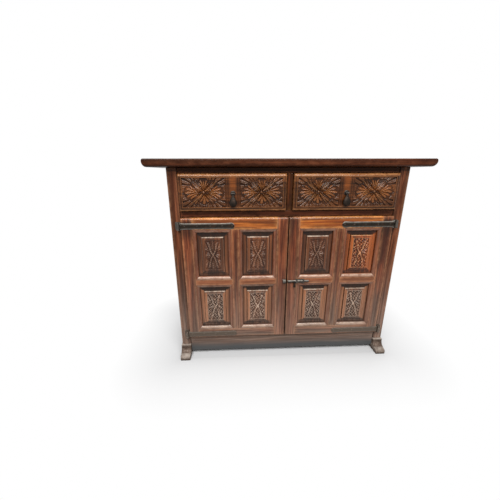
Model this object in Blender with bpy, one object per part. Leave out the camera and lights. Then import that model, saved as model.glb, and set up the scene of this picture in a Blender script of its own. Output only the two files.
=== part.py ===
"""Carved walnut credenza: two drawers over a pair of panelled doors, standing on shoe feet.

Metres, +Z up. The front faces -Y, the meeting line of the doors is X = 0 and the floor is Z = 0.
Pieces are drawn on the +X side, where "out" is the distance from the meeting line, and mirrored for the left.
"""

import math
from dataclasses import dataclass

import bmesh
import bpy
from mathutils import Matrix, Vector

# Clearances
FIT = 0.0003
SWING_GAP = 0.0015
MEETING_GAP = 0.003
SLIDE_GAP = 0.0005

# Case
BODY_WIDTH = 1.000
CASE_DEPTH = 0.375
STILE_WIDTH = 0.042
STILE_DEPTH = 0.040
STILE_CHAMFER = 0.003
SIDE_SETBACK = 0.006
RAIL_DEPTH = 0.026
RAIL_SETBACK = 0.003
BOTTOM_RAIL_HEIGHT = 0.087
MIDDLE_RAIL_HEIGHT = 0.025
TOP_RAIL_HEIGHT = 0.022
RAIL_CHAMFER = 0.003
RAIL_TO_FLOOR = 0.018
DIVIDER_THICKNESS = 0.025
BOARD_THICKNESS = 0.018
DUST_BOARD_THICKNESS = 0.012
BACK_THICKNESS = 0.012
BACK_INSET = 0.004
SHELF_RISE = 0.260
SHELF_SETBACK = 0.050

# Top board
TOP_THICKNESS = 0.031
TOP_SIDE_OVERHANG = 0.077
TOP_FRONT_OVERHANG = 0.045
TOP_BACK_OVERHANG = 0.008
NOSE_UPPER = 0.006
NOSE_LOWER = 0.014

# Shoe feet
FOOT_HEIGHT = 0.060
FOOT_OUTSET = 0.004
TOE_PROJECTION = 0.047
TOE_HEIGHT = 0.024
FOOT_FILLET_HEIGHT = 0.010
FOOT_FILLET_REACH = 0.008
TOE_STEP = 0.003

# Doors
DOOR_HEIGHT = 0.580
DOOR_THICKNESS = 0.028
PROUD = 0.014
HINGE_STILE_WIDTH = 0.046
MEETING_STILE_WIDTH = 0.048
DOOR_TOP_RAIL = 0.050
DOOR_BOTTOM_RAIL = 0.043
DOOR_MID_RAIL = 0.025
MUNTIN_WIDTH = 0.033
DOOR_TOP_ROUND = 0.016
DOOR_BOTTOM_ROUND = 0.006
DOOR_ROUND_DEPTH = 0.006

# Moulding round each door panel, and the groove behind it
MOULD_WIDTH = 0.0155
MOULD_DEPTH = 0.011
QUIRK = 0.001
GROOVE_DEPTH = 0.007
GROOVE_WIDTH = 0.006
GROOVE_LIP = 0.0015

# Fielded panels
PANEL_MARGIN = 0.017
PANEL_STEP_WIDTH = 0.003
PANEL_STEP = 0.0068
PANEL_SLOPE = 0.010
FIELD_RECESS = 0.004
FIELD_BORDER = 0.0025
FIELD_SINK = 0.0015

# Drawers
DRAWER_HEIGHT = 0.150
DRAWER_FRONT_THICKNESS = 0.024
DRAWER_EDGE_WIDTH = 0.014
DRAWER_EDGE_DEPTH = 0.008
CARVING_MARGIN = 0.0025
CARVING_SINK = 0.002
TABLET_WIDTH = 0.062
DRAWER_SIDE_HEIGHT = 0.115
DRAWER_SIDE_THICKNESS = 0.011
DRAWER_BOTTOM_THICKNESS = 0.006
DRAWER_BOTTOM_RISE = 0.006
DRAWER_BACK_GAP = 0.0287

# Drop pulls
PULL_DROP_BELOW_CENTRE = 0.003
PULL_PLATE_RADIUS = 0.011
PULL_PLATE_THICKNESS = 0.003
PULL_PIN_RADIUS = 0.0018
PULL_PIN_REACH = 0.012
PULL_EYE_RADIUS = 0.0048
PULL_EYE_WIDTH = 0.007
PULL_EAR_THICKNESS = 0.0025
DROP_LENGTH = 0.054
DROP_RADIUS = 0.0155
DROP_FLATNESS = 0.45

# Strap hinges
HINGE_OUT = 0.010
HINGE_HEIGHT = 0.034
STRAP_LENGTH = 0.236
STRAP_HEIGHT = 0.025
STRAP_THICKNESS = 0.0025
STRAP_TIP_SWELL = 0.001
FLARE_LENGTH = 0.026
EYE_RADIUS = 0.006
EYE_HEIGHT = 0.016
PIN_RADIUS = 0.003
HINGE_PLATE_WIDTH = 0.021
UPPER_HINGE_DROP = 0.034
LOWER_HINGE_RISE = 0.0185

# Slide bolt
BOLT_LENGTH = 0.097
BOLT_HEIGHT = 0.010
BOLT_THICKNESS = 0.006
BOLT_TIP = 0.0035
BOLT_THROW = 0.018
LATCH_PLATE_OUT = 0.040
LATCH_PLATE_LENGTH = 0.042
LATCH_PLATE_THICKNESS = 0.002
LOOP_WIDTH = 0.006
LOOP_THICKNESS = 0.002
KEEPER_OUT = 0.004
KEEPER_LENGTH = 0.014
BOLT_HANDLE_GAP = 0.003
BOLT_HANDLE_WIDTH = 0.010
BOLT_HANDLE_LENGTH = 0.031
BOLT_HANDLE_THICKNESS = 0.004

# Facets of round pieces
CURVE_STEPS = 5
ROUND_FACETS = 16

# Heights, stacked from the floor
RAIL_TOP = RAIL_TO_FLOOR + BOTTOM_RAIL_HEIGHT
DOOR_LOW = RAIL_TOP + SWING_GAP
DOOR_HIGH = DOOR_LOW + DOOR_HEIGHT
MIDDLE_LOW = DOOR_HIGH + SWING_GAP
MIDDLE_HIGH = MIDDLE_LOW + MIDDLE_RAIL_HEIGHT
DRAWER_LOW = MIDDLE_HIGH + SWING_GAP
DRAWER_HIGH = DRAWER_LOW + DRAWER_HEIGHT
TOP_RAIL_LOW = DRAWER_HIGH + SWING_GAP
TOP_RAIL_HIGH = TOP_RAIL_LOW + TOP_RAIL_HEIGHT
TOP_LOW = TOP_RAIL_HIGH + FIT
TOP_HIGH = TOP_LOW + TOP_THICKNESS

# Depths, with the whole object centred on Y = 0
REACH_FRONT = max(TOE_PROJECTION, TOP_FRONT_OVERHANG)
FRONT = (REACH_FRONT - CASE_DEPTH - TOP_BACK_OVERHANG) / 2
REAR = FRONT + CASE_DEPTH
FACE = FRONT - PROUD
RAIL_FRONT = FRONT + RAIL_SETBACK
RAIL_REAR = RAIL_FRONT + RAIL_DEPTH
BACK_FRONT = REAR - BACK_INSET - BACK_THICKNESS
GROOVE_FRONT = FACE + QUIRK + MOULD_DEPTH + GROOVE_LIP
GROOVE_REAR = GROOVE_FRONT + GROOVE_WIDTH
DOOR_REAR = FACE + DOOR_THICKNESS

# Distances out from the meeting line
HALF_BODY = BODY_WIDTH / 2
INNER = HALF_BODY - STILE_WIDTH
MEETING_EDGE = MEETING_GAP / 2
HINGE_EDGE = INNER - SWING_GAP
MEETING_FLAT = MEETING_EDGE + MEETING_STILE_WIDTH
HINGE_FLAT = HINGE_EDGE - HINGE_STILE_WIDTH
MUNTIN_CENTRE = (MEETING_FLAT + HINGE_FLAT) / 2
DRAWER_INNER = DIVIDER_THICKNESS / 2 + SWING_GAP
DRAWER_CENTRE = (DRAWER_INNER + HINGE_EDGE) / 2

# Door rows and columns between the flats of its frame
ROW_BOTTOM = DOOR_LOW + DOOR_BOTTOM_RAIL
ROW_TOP = DOOR_HIGH - DOOR_TOP_RAIL
MID_CENTRE = (ROW_BOTTOM + ROW_TOP) / 2
ROWS = (
    (ROW_BOTTOM, MID_CENTRE - DOOR_MID_RAIL / 2),
    (MID_CENTRE + DOOR_MID_RAIL / 2, ROW_TOP),
)
COLUMNS = (
    (MEETING_FLAT, MUNTIN_CENTRE - MUNTIN_WIDTH / 2),
    (MUNTIN_CENTRE + MUNTIN_WIDTH / 2, HINGE_FLAT),
)

# Hinge and pull axes
HINGE_AXIS_OUT = INNER + HINGE_OUT
HINGE_AXIS_Y = FACE - EYE_RADIUS
UPPER_HINGE_Z = DOOR_HIGH - UPPER_HINGE_DROP
LOWER_HINGE_Z = DOOR_LOW + LOWER_HINGE_RISE
PULL_Z = (DRAWER_LOW + DRAWER_HIGH) / 2 - PULL_DROP_BELOW_CENTRE
PULL_Y = FACE - PULL_PIN_REACH

# A cutter runs this far past the faces that it cuts
PAST = 0.002


@dataclass(frozen=True)
class Finish:
    """Colour, roughness and metallic value of a piece."""

    colour: tuple
    roughness: float
    metallic: float = 0.0


WALNUT = Finish((0.130, 0.052, 0.026), 0.45)
WORN_WALNUT = Finish((0.210, 0.088, 0.036), 0.42)
INNER_WOOD = Finish((0.240, 0.135, 0.068), 0.70)
FORGED_IRON = Finish((0.035, 0.040, 0.036), 0.55, 0.85)


@dataclass(frozen=True)
class Pivot:
    """An empty that carries a moving piece, and its place in the world."""

    empty: bpy.types.Object
    place: Vector


def clear_scene():
    """Remove every object that is in the file."""
    for obj in list(bpy.data.objects):
        bpy.data.objects.remove(obj, do_unlink=True)


def make_pivot(name, place, parent=None):
    """Add an empty at a place in the world, on the axis of a joint."""
    empty = bpy.data.objects.new(name, None)
    empty.empty_display_size = 0.02
    empty.parent = parent.empty if parent else None
    empty.location = Vector(place) - (parent.place if parent else Vector())
    bpy.context.scene.collection.objects.link(empty)
    return Pivot(empty, Vector(place))


def make_object(name, shape, side=1, pivot=None):
    """Turn a closed shape into an object, mirrored for the left and carried by its pivot."""
    bmesh.ops.scale(shape, vec=(side, 1, 1), verts=shape.verts)
    if pivot:
        bmesh.ops.translate(shape, vec=-pivot.place, verts=shape.verts)
    bmesh.ops.recalc_face_normals(shape, faces=shape.faces)
    mesh = bpy.data.meshes.new(name)
    shape.to_mesh(mesh)
    shape.free()
    obj = bpy.data.objects.new(name, mesh)
    obj.parent = pivot.empty if pivot else None
    bpy.context.scene.collection.objects.link(obj)
    return obj


def add_piece(name, shape, finish, side=1, pivot=None):
    """Add one piece of the credenza with a material of its own."""
    obj = make_object(name, shape, side, pivot)
    material = bpy.data.materials.new(name + "_finish")
    material.use_nodes = True
    shader = material.node_tree.nodes["Principled BSDF"]
    shader.inputs["Base Color"].default_value = (*finish.colour, 1.0)
    shader.inputs["Roughness"].default_value = finish.roughness
    shader.inputs["Metallic"].default_value = finish.metallic
    obj.data.materials.append(material)
    obj.data.shade_smooth()
    obj.data.set_sharp_from_angle(angle=math.radians(30))
    return obj


def add_helper(name, shape, side=1):
    """Add a wire helper that other pieces are cut or joined with."""
    obj = make_object(name, shape, side)
    obj.hide_render = True
    obj.display_type = "WIRE"
    return obj


def combine(obj, helper, operation):
    """Cut a helper from an object or join it on."""
    modifier = obj.modifiers.new(helper.name, "BOOLEAN")
    modifier.operation = operation
    modifier.solver = "EXACT"
    modifier.object = helper


def prism(outline, axis, low, high):
    """Extrude a closed outline along an axis; its points hold the other two coordinates in order."""
    order = {"X": (2, 0, 1), "Y": (0, 2, 1), "Z": (0, 1, 2)}[axis]
    shape = bmesh.new()
    corners = []
    for point in outline:
        triple = (*point, low)
        corners.append(shape.verts.new([triple[i] for i in order]))
    base = shape.faces.new(corners)
    grown = bmesh.ops.extrude_face_region(shape, geom=[base])
    moved = [item for item in grown["geom"] if isinstance(item, bmesh.types.BMVert)]
    travel = [(0, 0, high - low)[i] for i in order]
    bmesh.ops.translate(shape, vec=travel, verts=moved)
    return shape


def board(x, y, z):
    """A plain board between (low, high) limits on each axis."""
    return prism(rectangle(x, y), "Z", *z)


def rectangle(a, b):
    """Corners of a rectangle between two pairs of limits."""
    return [(a[0], b[0]), (a[1], b[0]), (a[1], b[1]), (a[0], b[1])]


def circle(a, b, radius, facets=ROUND_FACETS):
    """Points round a circle."""
    turns = [2 * math.pi * i / facets for i in range(facets)]
    return [(a + radius * math.cos(t), b + radius * math.sin(t)) for t in turns]


def arc(a, b, width, height, start, end):
    """Points of an elliptic arc between two angles in degrees."""
    angles = [math.radians(start + (end - start) * i / CURVE_STEPS) for i in range(CURVE_STEPS + 1)]
    return [(a + width * math.cos(t), b + height * math.sin(t)) for t in angles]


def skin(rings, closed_ends=True):
    """Skin a stack of equal rings of points into a closed shape."""
    shape = bmesh.new()
    loops = [[shape.verts.new(point) for point in ring] for ring in rings]
    pairs = list(zip(loops, loops[1:]))
    if not closed_ends:
        pairs.append((loops[-1], loops[0]))
    count = len(loops[0])
    for lower, upper in pairs:
        for i in range(count):
            j = (i + 1) % count
            shape.faces.new((lower[i], lower[j], upper[j], upper[i]))
    if closed_ends:
        shape.faces.new(loops[0])
        shape.faces.new(loops[-1])
    return shape


def mitred_loft(a, b, steps, axis, square_side=False):
    """Skin rectangles pulled in by each step's inset at its level, so that edge profiles meet in mitres.

    With square_side the far b edge keeps its place, as on a board whose back edge is left square.
    """
    rings = []
    for inset, level in steps:
        far = b[1] if square_side else b[1] - inset
        corners = rectangle((a[0] + inset, a[1] - inset), (b[0] + inset, far))
        if axis == "Y":
            rings.append([(p, level, q) for p, q in corners])
        else:
            rings.append([(p, q, level) for p, q in corners])
    return skin(rings)


def tube(a, b, outer, inner, axis, low, high):
    """A ring with a round hole along an axis."""
    rings = []
    for radius, level in ((outer, low), (outer, high), (inner, high), (inner, low)):
        points = circle(a, b, radius)
        if axis == "X":
            rings.append([(level, p, q) for p, q in points])
        else:
            rings.append([(p, q, level) for p, q in points])
    return skin(rings, closed_ends=False)


def turned(profile, facets=ROUND_FACETS):
    """Turn a profile of (radius, height) points round Z; both ends are flat."""
    return skin([[(p, q, height) for p, q in circle(0, 0, radius, facets)] for radius, height in profile])


def merge(*shapes):
    """Gather separate shapes in one, for a helper with several bodies."""
    whole = shapes[0]
    for extra in shapes[1:]:
        mesh = bpy.data.meshes.new("part_of_helper")
        extra.to_mesh(mesh)
        extra.free()
        whole.from_mesh(mesh)
        bpy.data.meshes.remove(mesh)
    return whole


def shrink(outline, gap):
    """Pull every side of an outline in by a gap, so that neighbours drawn to one line stay clear."""
    area = sum(p[0] * q[1] - q[0] * p[1] for p, q in zip(outline, outline[1:] + outline[:1]))
    turn = 1 if area > 0 else -1
    result = []
    for before, here, after in zip(outline[-1:] + outline[:-1], outline, outline[1:] + outline[:1]):
        first = (Vector(here) - Vector(before)).normalized()
        second = (Vector(after) - Vector(here)).normalized()
        normal_a = turn * Vector((-first.y, first.x))
        normal_b = turn * Vector((-second.y, second.x))
        push = (normal_a + normal_b) / (1 + normal_a.dot(normal_b))
        result.append(tuple(Vector(here) + gap * push))
    return result


def swapped(points):
    """The same points with their two coordinates exchanged."""
    return [(b, a) for a, b in points]


def moulded_edge(at, bays, outward):
    """An edge of a door member: beside each panel it stands out to carry the moulding, with mitred ends."""
    reach = MOULD_WIDTH + PAST
    points = []
    for low, high in bays:
        points.append((low, at))
        points.append((low + reach, at + outward * reach))
        points.append((high - reach, at + outward * reach))
        points.append((high, at))
    return points


def build_top():
    """The top board, with a nosing on the front and ends that is fuller below than above."""
    x = HALF_BODY + TOP_SIDE_OVERHANG
    y = (FRONT - TOP_FRONT_OVERHANG, REAR + TOP_BACK_OVERHANG)
    lower = arc(NOSE_LOWER, TOP_LOW + NOSE_LOWER, NOSE_LOWER, NOSE_LOWER, 270, 180)
    upper = arc(NOSE_UPPER, TOP_HIGH - NOSE_UPPER, NOSE_UPPER, NOSE_UPPER, 180, 90)
    add_piece("top_board", mitred_loft((-x, x), y, lower + upper, "Z", square_side=True), WALNUT)


def build_side(label, side):
    """A front stile, the side board behind it and the shoe foot under both."""
    c = STILE_CHAMFER
    stile = [
        (INNER, FRONT),
        (HALF_BODY - c, FRONT),
        (HALF_BODY, FRONT + c),
        (HALF_BODY, FRONT + STILE_DEPTH),
        (INNER, FRONT + STILE_DEPTH),
    ]
    height = (FOOT_HEIGHT + FIT, TOP_LOW - FIT)
    add_piece(f"{label}_front_stile", prism(stile, "Z", *height), WALNUT, side)
    side_x = (INNER, HALF_BODY - SIDE_SETBACK)
    side_y = (FRONT + STILE_DEPTH + FIT, REAR)
    add_piece(f"{label}_side_board", board(side_x, side_y, height), WALNUT, side)
    foot = prism(foot_outline(), "X", INNER, HALF_BODY + FOOT_OUTSET)
    add_piece(f"{label}_foot", foot, WALNUT, side)


def foot_outline():
    """Side view of a shoe foot: a fillet, a hollow, a step and a rounded toe."""
    toe = FRONT - TOE_PROJECTION
    fillet = FRONT - FOOT_FILLET_REACH
    hollow_low = TOE_HEIGHT + TOE_STEP
    hollow_high = FOOT_HEIGHT - FOOT_FILLET_HEIGHT
    step = FRONT - FOOT_FILLET_REACH - (TOE_PROJECTION - FOOT_FILLET_REACH) / 2
    hollow = arc(step, hollow_high, fillet - step, hollow_high - hollow_low, 360, 270)
    crown = arc(step, TOE_HEIGHT / 2, toe - step, TOE_HEIGHT / 2, 90, 0)
    outline = [(REAR, 0), (REAR, FOOT_HEIGHT), (fillet, FOOT_HEIGHT)]
    return outline + hollow + crown + [(toe, 0)]


def build_case():
    """Rails, divider and inner boards between the two sides."""
    span = (-INNER + FIT, INNER - FIT)
    for name, low, high, finish in (
        ("bottom_rail", RAIL_TO_FLOOR, RAIL_TOP, WALNUT),
        ("middle_rail", MIDDLE_LOW, MIDDLE_HIGH, WALNUT),
        ("top_rail", TOP_RAIL_LOW, TOP_RAIL_HIGH, WALNUT),
    ):
        c = RAIL_CHAMFER
        outline = [
            (RAIL_FRONT + c, low),
            (RAIL_REAR, low),
            (RAIL_REAR, high),
            (RAIL_FRONT + c, high),
            (RAIL_FRONT, high - c),
            (RAIL_FRONT, low + c),
        ]
        add_piece(name, prism(outline, "X", *span), finish)
    behind_rail = (RAIL_REAR + FIT, BACK_FRONT - FIT)
    floor_top = RAIL_TOP
    floor = board(span, behind_rail, (floor_top - BOARD_THICKNESS, floor_top))
    add_piece("bottom_board", floor, INNER_WOOD)
    dust = board(span, behind_rail, (MIDDLE_HIGH - DUST_BOARD_THICKNESS, MIDDLE_HIGH))
    add_piece("dust_board", dust, INNER_WOOD)
    shelf_low = floor_top + SHELF_RISE
    shelf_front = FRONT + SHELF_SETBACK
    half = BOARD_THICKNESS / 2
    nosing = arc(shelf_front + half, shelf_low + half, half, half, 270, 90)
    shelf = [(BACK_FRONT - FIT, shelf_low)] + nosing + [(BACK_FRONT - FIT, shelf_low + BOARD_THICKNESS)]
    add_piece("shelf", prism(shelf, "X", *span), INNER_WOOD)
    back_height = (FOOT_HEIGHT + FIT, TOP_LOW - FIT)
    add_piece("back_panel", board(span, (BACK_FRONT, BACK_FRONT + BACK_THICKNESS), back_height), INNER_WOOD)
    half_divider = DIVIDER_THICKNESS / 2
    divider_height = (MIDDLE_HIGH + FIT, TOP_RAIL_LOW - FIT)
    divider = board((-half_divider, half_divider), (FRONT, BACK_FRONT - FIT), divider_height)
    add_piece("drawer_divider", divider, WORN_WALNUT)


def opening_cutter(column, row):
    """The hole for one panel: an ovolo round the face, a groove behind it and the sight opening through."""
    steps = [(0, FACE - PAST), (0, FACE + QUIRK)]
    for inset, drop in arc(0, MOULD_DEPTH, MOULD_WIDTH, -MOULD_DEPTH, 90, 0)[1:]:
        steps.append((inset, FACE + QUIRK + drop))
    tuck = MOULD_WIDTH - GROOVE_DEPTH
    steps.append((MOULD_WIDTH, GROOVE_FRONT))
    steps.append((tuck, GROOVE_FRONT))
    steps.append((tuck, GROOVE_REAR))
    steps.append((MOULD_WIDTH, GROOVE_REAR))
    steps.append((MOULD_WIDTH, DOOR_REAR + PAST))
    return mitred_loft(column, row, steps, "Y")


def edge_cutter(level, width, upward):
    """The waste above or below a rounded edge that runs across the whole door."""
    out = (MEETING_EDGE - PAST, HINGE_EDGE + PAST)
    rounded = arc(FACE + DOOR_ROUND_DEPTH, level - upward * width, -DOOR_ROUND_DEPTH, upward * width, 0, 90)
    waste = [(FACE - PAST, level - upward * width)] + rounded
    waste.append((FACE + DOOR_ROUND_DEPTH, level + upward * PAST))
    waste.append((FACE - PAST, level + upward * PAST))
    return prism(waste, "X", *out)


def panel_shape(column, row):
    """A fielded panel: a tongue for the groove, a flat margin, a rounded step, a slope, a border and a sunk ground."""
    tongue = GROOVE_DEPTH - FIT
    grow = MOULD_WIDTH - tongue
    a = (column[0] + grow, column[1] - grow)
    b = (row[0] + grow, row[1] - grow)
    front = GROOVE_FRONT + FIT
    field = FACE + FIELD_RECESS
    step_top = tongue + PANEL_MARGIN + PANEL_STEP_WIDTH
    slope_end = step_top + PANEL_SLOPE
    sink = slope_end + FIELD_BORDER
    steps = [(0, GROOVE_REAR - FIT), (0, front)]
    steps += arc(step_top, front, -PANEL_STEP_WIDTH, -PANEL_STEP, 0, 90)
    steps += [(slope_end, field), (sink, field), (sink + FIELD_SINK, field + FIELD_SINK)]
    return mitred_loft(a, b, steps, "Y")


def build_door(label, side):
    """One framed door with four fielded panels, hung on strap hinges."""
    pivot = make_pivot(f"{label}_door_axis", (side * HINGE_AXIS_OUT, HINGE_AXIS_Y, 0))
    cutters = [opening_cutter(column, row) for column in COLUMNS for row in ROWS]
    cutters.append(edge_cutter(DOOR_HIGH, DOOR_TOP_ROUND, 1))
    cutters.append(edge_cutter(DOOR_LOW, DOOR_BOTTOM_ROUND, -1))
    waste = add_helper(f"{label}_door_waste", merge(*cutters), side)
    members = {}
    for name, outline, finish in door_outlines():
        shape = prism(shrink(outline, FIT / 2), "Y", FACE, DOOR_REAR)
        piece = add_piece(f"{label}_door_{name}", shape, finish, side, pivot)
        combine(piece, waste, "DIFFERENCE")
        members[name] = piece
    lap_door_cross(label, side, members)
    for n, column in enumerate(COLUMNS):
        for level, row in zip(("lower", "upper"), ROWS):
            where = ("meeting", "hinge")[n]
            name = f"{label}_door_{level}_{where}_panel"
            add_piece(name, panel_shape(column, row), WALNUT, side, pivot)
    for level, height in (("upper", UPPER_HINGE_Z), ("lower", LOWER_HINGE_Z)):
        build_strap(f"{label}_{level}_strap", height, side, pivot)
        build_hinge_plate(f"{label}_{level}_hinge_plate", height, side)
    return pivot


def door_outlines():
    """Front outlines of the door members, drawn to their shared joint lines."""
    hinge = swapped(moulded_edge(HINGE_FLAT, ROWS, -1))
    meeting = swapped(moulded_edge(MEETING_FLAT, ROWS, 1))
    above = moulded_edge(ROW_TOP, COLUMNS, -1)
    below = moulded_edge(ROW_BOTTOM, COLUMNS, 1)
    muntin_hinge = swapped(moulded_edge(COLUMNS[1][0], ROWS, 1))
    muntin_meeting = swapped(moulded_edge(COLUMNS[0][1], ROWS, -1))
    mid_upper = moulded_edge(ROWS[1][0], COLUMNS, 1)
    mid_lower = moulded_edge(ROWS[0][1], COLUMNS, -1)
    hinge_ends = [(HINGE_FLAT, DOOR_HIGH), (HINGE_EDGE, DOOR_HIGH), (HINGE_EDGE, DOOR_LOW), (HINGE_FLAT, DOOR_LOW)]
    meeting_ends = [
        (MEETING_FLAT, DOOR_HIGH),
        (MEETING_EDGE, DOOR_HIGH),
        (MEETING_EDGE, DOOR_LOW),
        (MEETING_FLAT, DOOR_LOW),
    ]
    return (
        ("hinge_stile", hinge + hinge_ends, WALNUT),
        ("meeting_stile", meeting + meeting_ends, WALNUT),
        ("top_rail", above + [(HINGE_FLAT, DOOR_HIGH), (MEETING_FLAT, DOOR_HIGH)], WORN_WALNUT),
        ("bottom_rail", below + [(HINGE_FLAT, DOOR_LOW), (MEETING_FLAT, DOOR_LOW)], WALNUT),
        ("muntin", muntin_hinge + muntin_meeting[::-1], WALNUT),
        ("mid_rail", mid_upper + mid_lower[::-1], WORN_WALNUT),
    )


def lap_door_cross(label, side, members):
    """Halve the muntin over the mid rail where they cross: the muntin shows in front."""
    half_width = MUNTIN_WIDTH / 2
    half_height = DOOR_MID_RAIL / 2
    lap = FACE + DOOR_THICKNESS / 2
    out = (MUNTIN_CENTRE - half_width, MUNTIN_CENTRE + half_width)
    z = (MID_CENTRE - half_height, MID_CENTRE + half_height)
    tall = (z[0] - PAST, z[1] + PAST)
    wide = (out[0] - PAST, out[1] + PAST)
    close_out = (out[0] - FIT / 2, out[1] + FIT / 2)
    close_z = (z[0] - FIT / 2, z[1] + FIT / 2)
    front_notch = board(close_out, (FACE - PAST, lap + FIT / 2), tall)
    rear_notch = board(wide, (lap - FIT / 2, DOOR_REAR + PAST), close_z)
    combine(members["mid_rail"], add_helper(f"{label}_front_notch", front_notch, side), "DIFFERENCE")
    combine(members["muntin"], add_helper(f"{label}_rear_notch", rear_notch, side), "DIFFERENCE")


def strap_outline(height):
    """Half a strap mirrored: a flare at the knuckle, a slow taper and a swelling round tip."""
    start = EYE_RADIUS + FIT + SWING_GAP
    flare = HINGE_HEIGHT / 2
    half = STRAP_HEIGHT / 2
    tip = half + STRAP_TIP_SWELL
    root = EYE_HEIGHT / 2 - FIT
    upper = [(PIN_RADIUS, root), (start, root), (start, flare)]
    upper += arc(start + FLARE_LENGTH, flare, -FLARE_LENGTH, half - flare, 0, 90)[1:]
    upper.append((STRAP_LENGTH - 3 * tip, half - STRAP_TIP_SWELL / 2))
    upper += arc(STRAP_LENGTH - tip, 0, tip, tip, 100, 0)
    points = upper + [(s, -z) for s, z in upper[-2::-1]]
    return [(HINGE_AXIS_OUT - s, height + z) for s, z in points]


def build_strap(name, height, side, pivot):
    """A forged strap on the door face with its eye round the hinge pin."""
    rear = FACE - FIT
    strap = prism(strap_outline(height), "Y", rear - STRAP_THICKNESS, rear)
    piece = add_piece(name, strap, FORGED_IRON, side, pivot)
    limits = (height - EYE_HEIGHT / 2, height + EYE_HEIGHT / 2)
    eye = tube(HINGE_AXIS_OUT, HINGE_AXIS_Y, EYE_RADIUS, PIN_RADIUS + FIT, "Z", *limits)
    combine(piece, add_helper(name + "_eye", eye, side), "UNION")


def build_hinge_plate(name, height, side):
    """The fixed half of a hinge: a plate on the case stile, two lugs and the pin through them."""
    rear = FRONT - FIT
    front = rear - STRAP_THICKNESS
    half = HINGE_HEIGHT / 2
    inner = HINGE_AXIS_OUT - EYE_RADIUS
    plate = board((inner, inner + HINGE_PLATE_WIDTH), (front, rear), (height - half, height + half))
    piece = add_piece(name, plate, FORGED_IRON, side)
    nose = arc(HINGE_AXIS_OUT, HINGE_AXIS_Y, EYE_RADIUS, -EYE_RADIUS, 0, 180)
    depth = front + STRAP_THICKNESS / 2
    lug = nose + [(HINGE_AXIS_OUT - EYE_RADIUS, depth), (HINGE_AXIS_OUT + EYE_RADIUS, depth)]
    inner_end = EYE_HEIGHT / 2 + FIT
    outer_end = half - FIT
    upper = prism(lug, "Z", height + inner_end, height + outer_end)
    lower = prism(lug, "Z", height - outer_end, height - inner_end)
    combine(piece, add_helper(name + "_lugs", merge(upper, lower), side), "UNION")
    pin = prism(circle(HINGE_AXIS_OUT, HINGE_AXIS_Y, PIN_RADIUS), "Z", height - half, height + half)
    combine(piece, add_helper(name + "_pin", pin, side), "UNION")


def build_drawer(label, side):
    """A drawer box behind a front with a rounded edge, two sunk carving grounds and a plain tablet."""
    centre = side * DRAWER_CENTRE
    pivot = make_pivot(f"{label}_drawer_slide", (centre, FACE, DRAWER_LOW))
    width = (DRAWER_INNER, HINGE_EDGE)
    rear = FACE + DRAWER_FRONT_THICKNESS
    steps = [(0, rear)]
    for inset, level in arc(DRAWER_EDGE_WIDTH, DRAWER_EDGE_DEPTH, -DRAWER_EDGE_WIDTH, -DRAWER_EDGE_DEPTH, 0, 90):
        steps.append((inset, FACE + level))
    front = add_piece(
        f"{label}_drawer_front",
        mitred_loft(width, (DRAWER_LOW, DRAWER_HIGH), steps, "Y"),
        WORN_WALNUT,
        side,
        pivot,
    )
    combine(front, add_helper(f"{label}_carving_waste", carving_waste(), side), "DIFFERENCE")
    build_drawer_box(label, side, pivot, rear + FIT)
    build_pull(label, side, pivot)


def carving_waste():
    """The two sunk grounds of a drawer front, on each side of the tablet."""
    edge = DRAWER_EDGE_WIDTH + CARVING_MARGIN
    z = (DRAWER_LOW + edge, DRAWER_HIGH - edge)
    half = TABLET_WIDTH / 2
    steps = [(0, FACE - PAST), (0, FACE), (CARVING_SINK, FACE + CARVING_SINK)]
    inner = mitred_loft((DRAWER_INNER + edge, DRAWER_CENTRE - half), z, steps, "Y")
    outer = mitred_loft((DRAWER_CENTRE + half, HINGE_EDGE - edge), z, steps, "Y")
    return merge(inner, outer)


def build_drawer_box(label, side, pivot, start):
    """The sides, back and bottom of a drawer, running on the dust board."""
    low = MIDDLE_HIGH + FIT
    z = (low, low + DRAWER_SIDE_HEIGHT)
    end = BACK_FRONT - DRAWER_BACK_GAP
    t = DRAWER_SIDE_THICKNESS
    inner = (DRAWER_INNER + t + FIT, HINGE_EDGE - t - FIT)
    y = (start, end)
    shape = board((DRAWER_INNER, DRAWER_INNER + t), y, z)
    add_piece(f"{label}_drawer_inner_side", shape, INNER_WOOD, side, pivot)
    shape = board((HINGE_EDGE - t, HINGE_EDGE), y, z)
    add_piece(f"{label}_drawer_outer_side", shape, INNER_WOOD, side, pivot)
    shape = board(inner, (end - t, end), z)
    add_piece(f"{label}_drawer_back", shape, INNER_WOOD, side, pivot)
    bottom_low = low + DRAWER_BOTTOM_RISE
    bottom_z = (bottom_low, bottom_low + DRAWER_BOTTOM_THICKNESS)
    shape = board(inner, (start, end - t - FIT), bottom_z)
    add_piece(f"{label}_drawer_bottom", shape, INNER_WOOD, side, pivot)


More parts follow.
